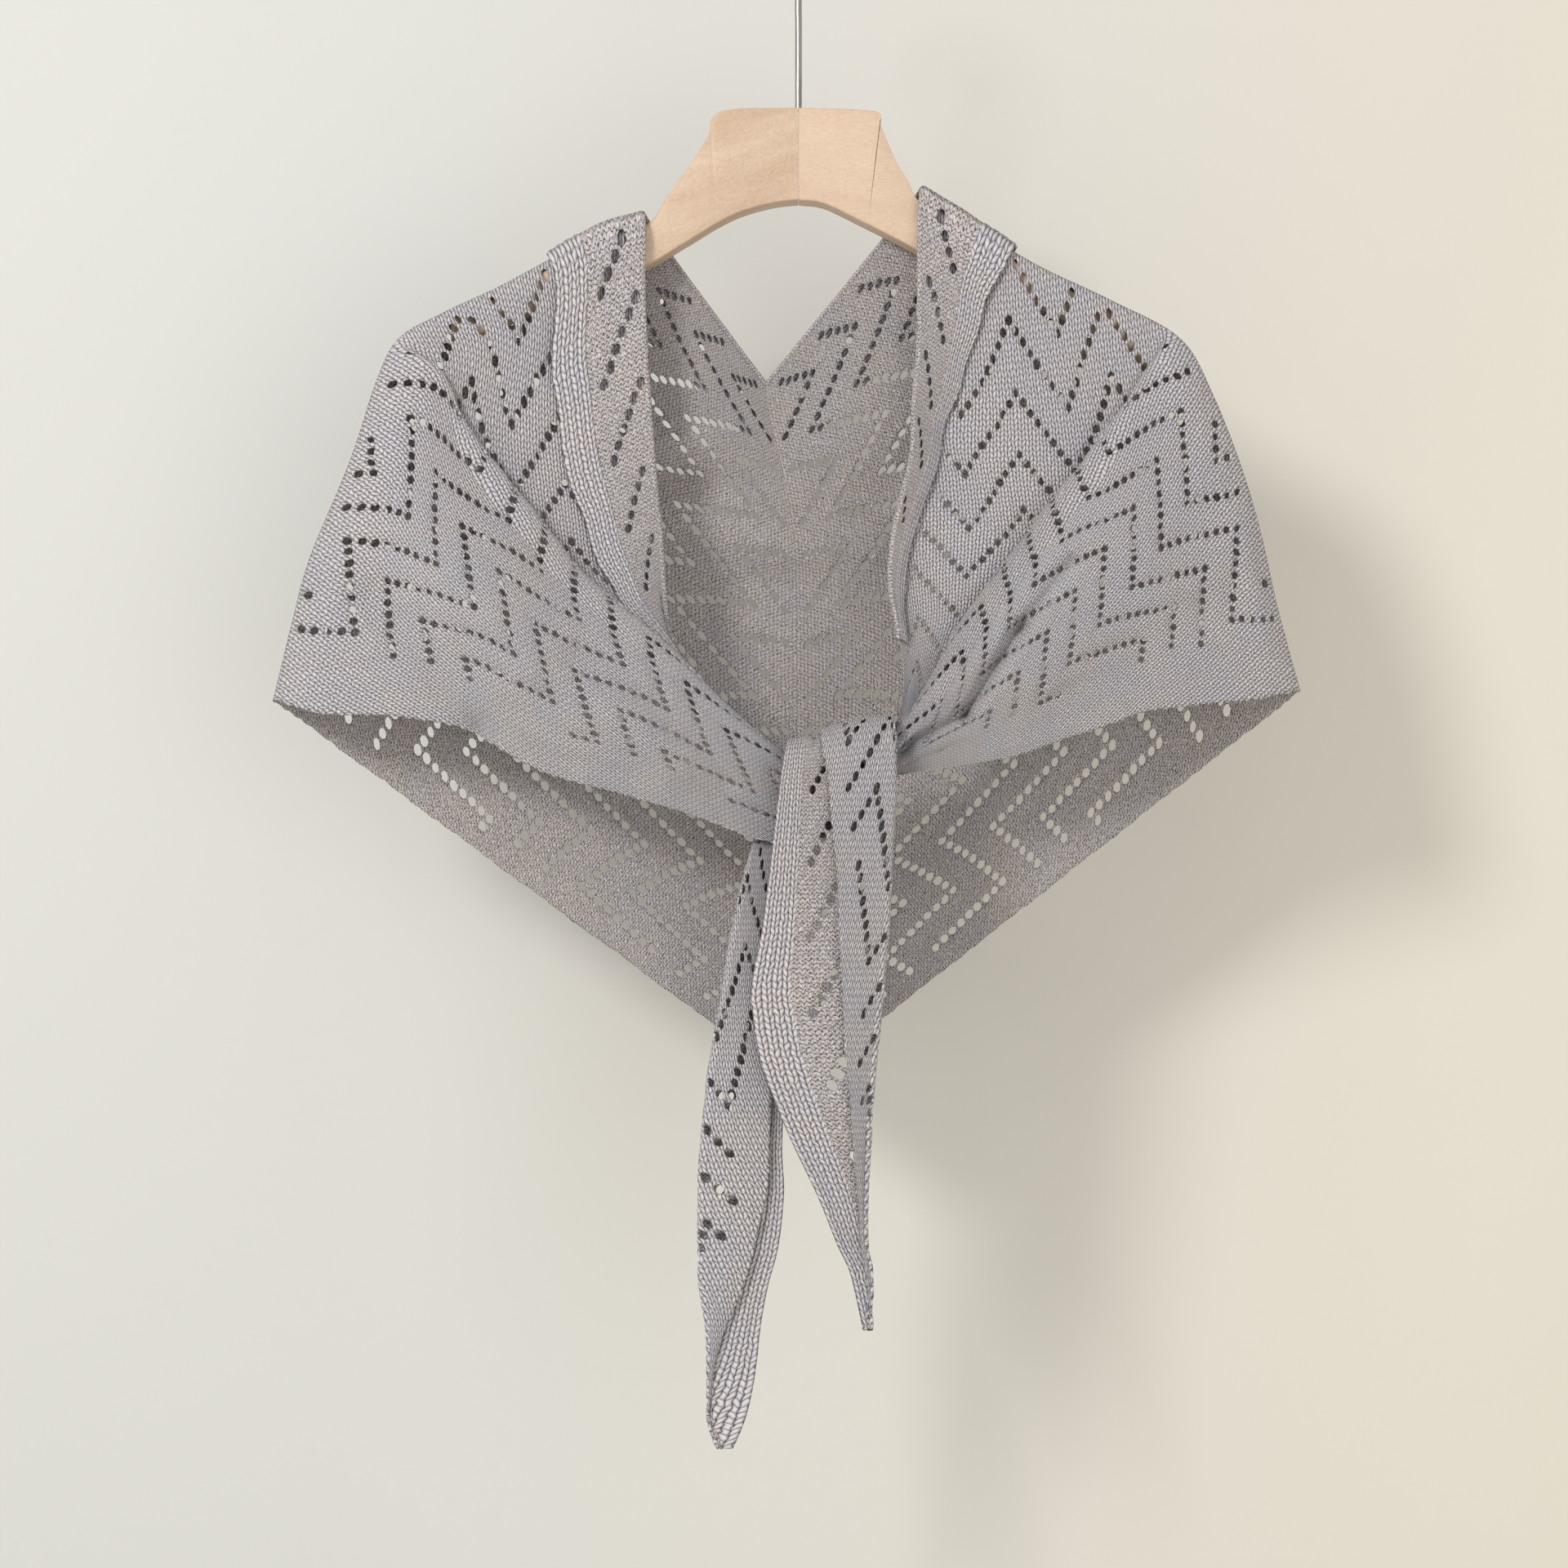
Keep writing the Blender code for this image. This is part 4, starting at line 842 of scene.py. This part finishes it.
def wood(name, tilt, streak, grain):
    """Pale maple: tilt turns the grain in the face, streak is how strongly its bands show."""
    n = Nodes(name)
    turn = n.tree.nodes.new("ShaderNodeVectorRotate")
    turn.rotation_type = "Y_AXIS"
    turn.inputs["Angle"].default_value = tilt
    n.put(turn.inputs["Vector"], n.coordinates("Object"))
    place_at = turn.outputs[0]
    long = n.vector("MULTIPLY", place_at, (9.0, 40.0, 75.0))
    bands = n.noise(n.vector("ADD", long, (3.1, 0, 1.7)), 1.0, 4)
    pores = n.noise(n.vector("MULTIPLY", place_at, (260.0, 900.0, 1500.0)), 1.0, 2)
    flecks = n.noise(n.vector("MULTIPLY", place_at, (700.0, 900.0, 420.0)), grain, 2)
    colour = n.ramp(bands, (0.36, srgb(204, 175, 149)), (0.5, srgb(217, 191, 167)),
                    (0.66, srgb(226, 204, 182)))
    plain = (*srgb(217, 191, 167), 1)
    colour = n.mix(streak, plain, colour)
    colour = n.mix(0.16, colour, n.ramp(pores, (0.35, srgb(176, 140, 108)),
                                        (0.62, srgb(232, 208, 184))))
    colour = n.mix(0.1, colour, n.ramp(flecks, (0.38, srgb(180, 144, 112)),
                                       (0.6, srgb(232, 210, 190))))
    height = n.math("ADD", n.math("MULTIPLY", pores, 0.6), n.math("MULTIPLY", flecks, 0.4))
    rough = n.math("ADD", 0.42, n.math("MULTIPLY", bands, 0.2))
    return n.finish(colour, rough, n.bump(height, 0.00012, 0.6), Specular_IOR_Level=0.35)


def steel(name):
    n = Nodes(name)
    lines = n.noise(n.vector("MULTIPLY", n.coordinates("Object"), (1400.0, 1400.0, 60.0)), 1.0, 2)
    colour = n.ramp(lines, (0.3, srgb(150, 148, 144)), (0.7, srgb(186, 184, 180)))
    rough = n.math("ADD", 0.26, n.math("MULTIPLY", lines, 0.16))
    return n.finish(colour, rough, n.bump(lines, 0.00004, 0.5), Metallic=1.0)


def tube(name, path, shares, radius, sides, material):
    """A round tube along a path given as points (x, z) in the plane y = 0."""
    spots, ahead = path(shares), path(shares + 0.002) - path(shares - 0.002)
    turn = np.arange(sides) * 2 * math.pi / sides
    points, faces = [], []
    for (x, z), (dx, dz) in zip(spots, ahead):
        size = math.hypot(dx, dz)
        out, deep = radius * np.cos(turn), radius * np.sin(turn)
        points += (np.stack([x + out * dz / size, deep, z - out * dx / size], -1) * MM).tolist()
    last = len(spots) - 1
    for k in range(last):
        for i in range(sides):
            j = (i + 1) % sides
            faces.append((k * sides + i, k * sides + j, (k + 1) * sides + j, (k + 1) * sides + i))
    faces += [tuple(range(sides))[::-1], tuple(last * sides + i for i in range(sides))]
    return solid(name, points, faces, material)


def solid(name, points, faces, material, angle=40):
    """A closed mesh, turned right side out, smooth but for edges sharper than the angle."""
    mesh = bpy.data.meshes.new(name)
    mesh.from_pydata(points, [], faces)
    mesh.calc_loop_triangles()
    volume = 0.0
    for tri in mesh.loop_triangles:
        a, b, c = (mesh.vertices[i].co for i in tri.vertices)
        volume += a.dot(b.cross(c))
    if volume < 0:
        mesh.flip_normals()
    mesh.polygons.foreach_set("use_smooth", [True] * len(mesh.polygons))
    mesh.set_sharp_from_angle(angle=math.radians(angle))
    mesh.materials.append(material)
    item = bpy.data.objects.new(name, mesh)
    bpy.context.scene.collection.objects.link(item)
    return item


def hanger_half(name, sign, yoke, side, material):
    """One half of the hanger, its edges rounded."""
    under = line({"left": LEFT, "right": RIGHT}[side]["side"])
    shoulder = [tuple(under(f)) for f in np.linspace(0.06, 0.39, 6)]
    top = yoke["top"] + [(x, d + ARM_DROP) for x, d in shoulder if abs(x) < ARM_TIP_ACROSS]
    tip_across, tip_down = top[-1]
    across, down = yoke["low"][-1]
    low = list(yoke["low"])
    for w in (0.35, 0.7, 1.0):
        bow = ARM_BOW * math.sin(math.pi * w)
        low.append((across + (tip_across - across) * w,
                    down + (tip_down + ARM_TIP_HIGH - down) * w - bow))
    top_line, low_line = line(top), line(low)
    points, faces = [], []
    steps = np.linspace(0, math.pi / 2, 4)
    shares = np.concatenate([[0, 0.004], np.linspace(0.015, 1, 90)])
    for k, share in enumerate(shares):
        upper, lower = top_line(share), low_line(share)
        if share == 0:
            upper[0] = lower[0] = sign * 0.1
        hidden = np.clip((abs(upper[0]) - YOKE_SHOWN) / YOKE_TAPER, 0, 1)
        rim = YOKE_EDGE + (ARM_EDGE - YOKE_EDGE) * hidden
        ring = []
        for spot, radius, up, toward in ((upper, rim, 1, 1), (lower, YOKE_EDGE, -1, -1)):
            for half in (1, -1):
                for a in steps if half == 1 else steps[::-1]:
                    shift = up * radius * (1 - math.sin(a))
                    inset = radius * (1 - math.cos(a))
                    ring.append((spot, shift, toward * half * (ARM_THICK / 2 - inset)))
        for spot, shift, deep in ring:
            middle = -ARM_BEND * abs(spot[0])
            at = place(spot[0], spot[1] + shift, middle - ARM_THICK / 2)
            at[1] = (middle + deep) * MM
            points.append(tuple(at))
    sides = len(ring)
    last = len(shares) - 1
    for k in range(last):
        for i in range(sides):
            j = (i + 1) % sides
            faces.append((k * sides + i, k * sides + j, (k + 1) * sides + j, (k + 1) * sides + i))
    faces += [tuple(range(sides))[::-1], tuple(last * sides + i for i in range(sides))]
    return solid(name, points, faces, material)


def spaced(*runs):
    """Shares from 0 to 1 in runs of (start, end, steps), each start once."""
    parts = [np.linspace(a, b, steps, endpoint=False) for a, b, steps in runs]
    return np.concatenate(parts + [[runs[-1][1]]])


def ribs(v):
    """Height of the border's ribs, by the distance from the neck edge."""
    w = np.clip(v / BORDER_WIDTH, 0, 1)
    return np.where(v < BORDER_WIDTH, RIB_HEIGHT * np.abs(np.sin(math.pi * BORDER_RIBS * w)), 0)


def band_facing(band):
    """1 where the surface's normal points to the outside of the folded band, -1 otherwise."""
    n = normals(band, np.array([0.6]), np.array([0.3]))
    return 1 if n[0, 1] < 0 else -1


# Dark, middle and light colours of the stitches: the dark one is shade painted into the gaps between
# strands, the light one a highlight painted on their tops
FRONT_SHADE_TONE_HIGHLIGHT = (srgb(66, 63, 68), srgb(188, 184, 189), srgb(238, 234, 237))
# The purl side's colours are set lighter than the knit side's as painted light, for the light that
# comes through the thin, holed cloth onto the inner back
BACK_SHADE_TONE_HIGHLIGHT = (srgb(92, 86, 88), srgb(212, 204, 204), srgb(246, 239, 237))
knit = knit_side("knit", FRONT_SHADE_TONE_HIGHLIGHT)
purl = purl_side("purl", BACK_SHADE_TONE_HIGHLIGHT)

fronts = {side: Front(side) for side in ("left", "right")}
back = Back(fronts)
first, last = PANEL_SHARE
pieces = []


def dress(result, nodes):
    item, area, span = result
    item.data.materials.append(knit)
    item.data.materials.append(purl)
    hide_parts(*nodes)
    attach(item, "root")
    pieces.append(item)


panel_t = spaced((0, first, 52), (first, last, 26), (last, 1, 74))
back_t = np.unique(np.round(fronts["left"].edge_share(panel_t), 6))
half = 1 - spaced((0, 0.06, 12), (0.06, 1, 74))[::-1]
back_s = np.concatenate([-half[:0:-1], half])
loops = np.concatenate([hole_loops(back, (0.004, 0.992, 0.008, 0.99)),
                        hole_loops(back, (-0.992, -0.004, 0.008, 0.99), True)])
dress(cloth("shawl_back", back, back_s, back_t, (270, 400), loops), ["back"])

front_s = spaced((0, 0.04, 10), (0.04, 1, 100))
for side, front in fronts.items():
    loops = hole_loops(front, (0.006, 0.99, 0.012, 0.99), gape=(0.5, 0.92))
    facing = {"left": -1, "right": 1}[side]
    dress(cloth(f"shawl_front_{side}", front, front_s, panel_t, (310, 300), loops, ribs, facing),
          [f"front_{side}"])

rib_start = 1 - BORDER_WIDTH / COLLAR_WIDTH
collar_t = spaced((0, 0.14, 10), (0.14, rib_start, 18), (rib_start, 1, 24))
for side, front in fronts.items():
    piece = Collar(front, COLLAR_REACH[side], COLLAR_OUT[side], COLLAR_END[side], first)
    loops = hole_loops(piece, (0.006, 0.994, 0.15, rib_start - 0.01))
    facing = COLLAR_OUT[side]
    result = cloth(f"shawl_collar_{side}", piece, spaced((0, 1, 90)), collar_t, (190, 60), loops,
                   ribs, facing, True)
    dress(result, [f"collar_{side}"])
piece = Collar(back, COLLAR_REACH["back"], 1, 1.0, 1.0)
loops = np.concatenate([hole_loops(piece, (0.006, 0.994, 0.15, rib_start - 0.01)),
                        hole_loops(piece, (-0.994, -0.006, 0.15, rib_start - 0.01), True)])
dress(cloth("shawl_collar_back", piece, spaced((-1, 1, 130)), collar_t, (150, 60), loops, ribs, 1,
            True), ["collar_back"])

fold_first, fold_last = TAIL_SHARE
tail_t = spaced((0, 0.16, 24), (0.16, fold_first, 28), (fold_first, fold_last, 12),
                (fold_last, 1, 26))
for name, rows, start, finish, length, nodes in (
    ("shawl_end_right", KNOT_WRAP[:-1] + RIGHT_TAIL[1:], 560, 872, 400,
     ["knot_wrap", "tail_right"]),
    ("shawl_end_left", LEFT_TAIL, 570, 872, 350, ["tail_left"]),
):
    band = Band(rows, start, finish)
    loops = hole_loops(band, (0.006, 0.994, 0.01, 0.99))
    facing = band_facing(band)
    dress(cloth(name, band, spaced((0, 1, 150)), tail_t, (length, 110), loops, ribs, facing, True),
          nodes)

hanger = (
    hanger_half("hanger_wood_left", -1, YOKE_LEFT, "left", wood("maple_left", 0.42, 0.75, 1.0)),
    hanger_half("hanger_wood_right", 1, YOKE_RIGHT, "right", wood("maple_right", -0.2, 0.35, 2.0)),
)
for item, node in zip(hanger, ("hanger_left", "hanger_right")):
    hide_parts(node)
    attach(item, "root")

centre = -(HOOK_RADIUS - WIRE / 2)
route = [(0, -(WOOD_TOP - 0.1)), (0, -105), (0, -90), (0, -76), (0, -SHANK_TOP), (1.5, -55)]
route.append((6, -48.5))
for degrees in range(-58, 196, 14):
    a = math.radians(degrees)
    route.append((HOOK_RADIUS * math.cos(a), centre + HOOK_RADIUS * math.sin(a)))
wire = tube("hook_steel", line(route), np.linspace(0, 1, 120), WIRE / 2, 20, steel("steel"))
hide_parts("hook_wire")
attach(wire, "root")

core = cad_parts["knot_core"]
core.data.materials.clear()
core.data.materials.append(knit)


def sheet_of(name, points, faces, material):
    mesh = bpy.data.meshes.new(name)
    mesh.from_pydata(points, [], faces)
    mesh.materials.append(material)
    item = bpy.data.objects.new(name, mesh)
    bpy.context.scene.collection.objects.link(item)
    return item


def wall_paint_warm_cast(name):
    """Matt pale paint, cool on the left and warm on the right; the warm tint is painted light, for
    the warm light and soft shadow falling on that side.
    """
    n = Nodes(name)
    x, _, z = n.split(n.coordinates("Object"))
    spread = n.noise(n.vector("MULTIPLY", n.coordinates("Object"), (1.6, 1.6, 1.6)), 1.0, 1)
    # painted light: the colour turns warm towards the right, for the warm light and soft shadow
    # falling there
    warm = n.math("ADD", n.math("MULTIPLY", x, 1.1), n.math("MULTIPLY", spread, 0.5))
    colour = n.ramp(warm, (0.05, srgb(220, 220, 216)), (0.75, srgb(232, 226, 214)))
    grain = n.noise(n.coordinates("Object"), 900.0, 1)
    return n.finish(colour, 0.9, n.bump(grain, 0.00002, 0.2), Specular_IOR_Level=0.1)


WALL_Y = 0.18
FLOOR_Z = -1.4
sheet_of("wall", [(-3, WALL_Y, FLOOR_Z), (3, WALL_Y, FLOOR_Z), (3, WALL_Y, 2), (-3, WALL_Y, 2)],
         [(0, 1, 2, 3)], wall_paint_warm_cast("wall_paint_warm_cast"))
sheet_of("floor", [(-3, -3, FLOOR_Z), (3, -3, FLOOR_Z), (3, WALL_Y, FLOOR_Z),
                   (-3, WALL_Y, FLOOR_Z)], [(0, 1, 2, 3)], wall_paint_warm_cast("floor_paint_warm_cast"))

camera = bpy.data.cameras.new("camera")
camera.sensor_width = 36
camera.lens = 36 * 1.45 / 0.864
eye = bpy.data.objects.new("camera", camera)
eye.location = (EYE_ACROSS * MM, -EYE_AWAY * MM, -EYE_DOWN * MM)
eye.rotation_euler = (math.radians(90), 0, 0)
bpy.context.scene.collection.objects.link(eye)
bpy.context.scene.camera = eye


def lamp(name, spot, aim, size, power, colour):
    light = bpy.data.lights.new(name, "AREA")
    light.shape = "DISK"
    light.size = size
    light.energy = power
    light.color = colour
    item = bpy.data.objects.new(name, light)
    item.location = spot
    item.rotation_euler = (Vector(aim) - Vector(spot)).to_track_quat("-Z", "Y").to_euler()
    bpy.context.scene.collection.objects.link(item)


lamp("key", (-1.2, -2.0, 0.5), (0, 0, -0.45), 0.6, 28, (1.0, 0.99, 0.975))
lamp("fill", (0.8, -2.4, -0.6), (0, 0, -0.45), 1.6, 11, (1.0, 0.985, 0.965))
world = bpy.data.worlds.new("studio")
world.use_nodes = True
world.node_tree.nodes["Background"].inputs[0].default_value = (1.0, 0.99, 0.975, 1)
world.node_tree.nodes["Background"].inputs[1].default_value = 0.58
bpy.context.scene.world = world
bpy.context.scene.view_settings.view_transform = "Standard"
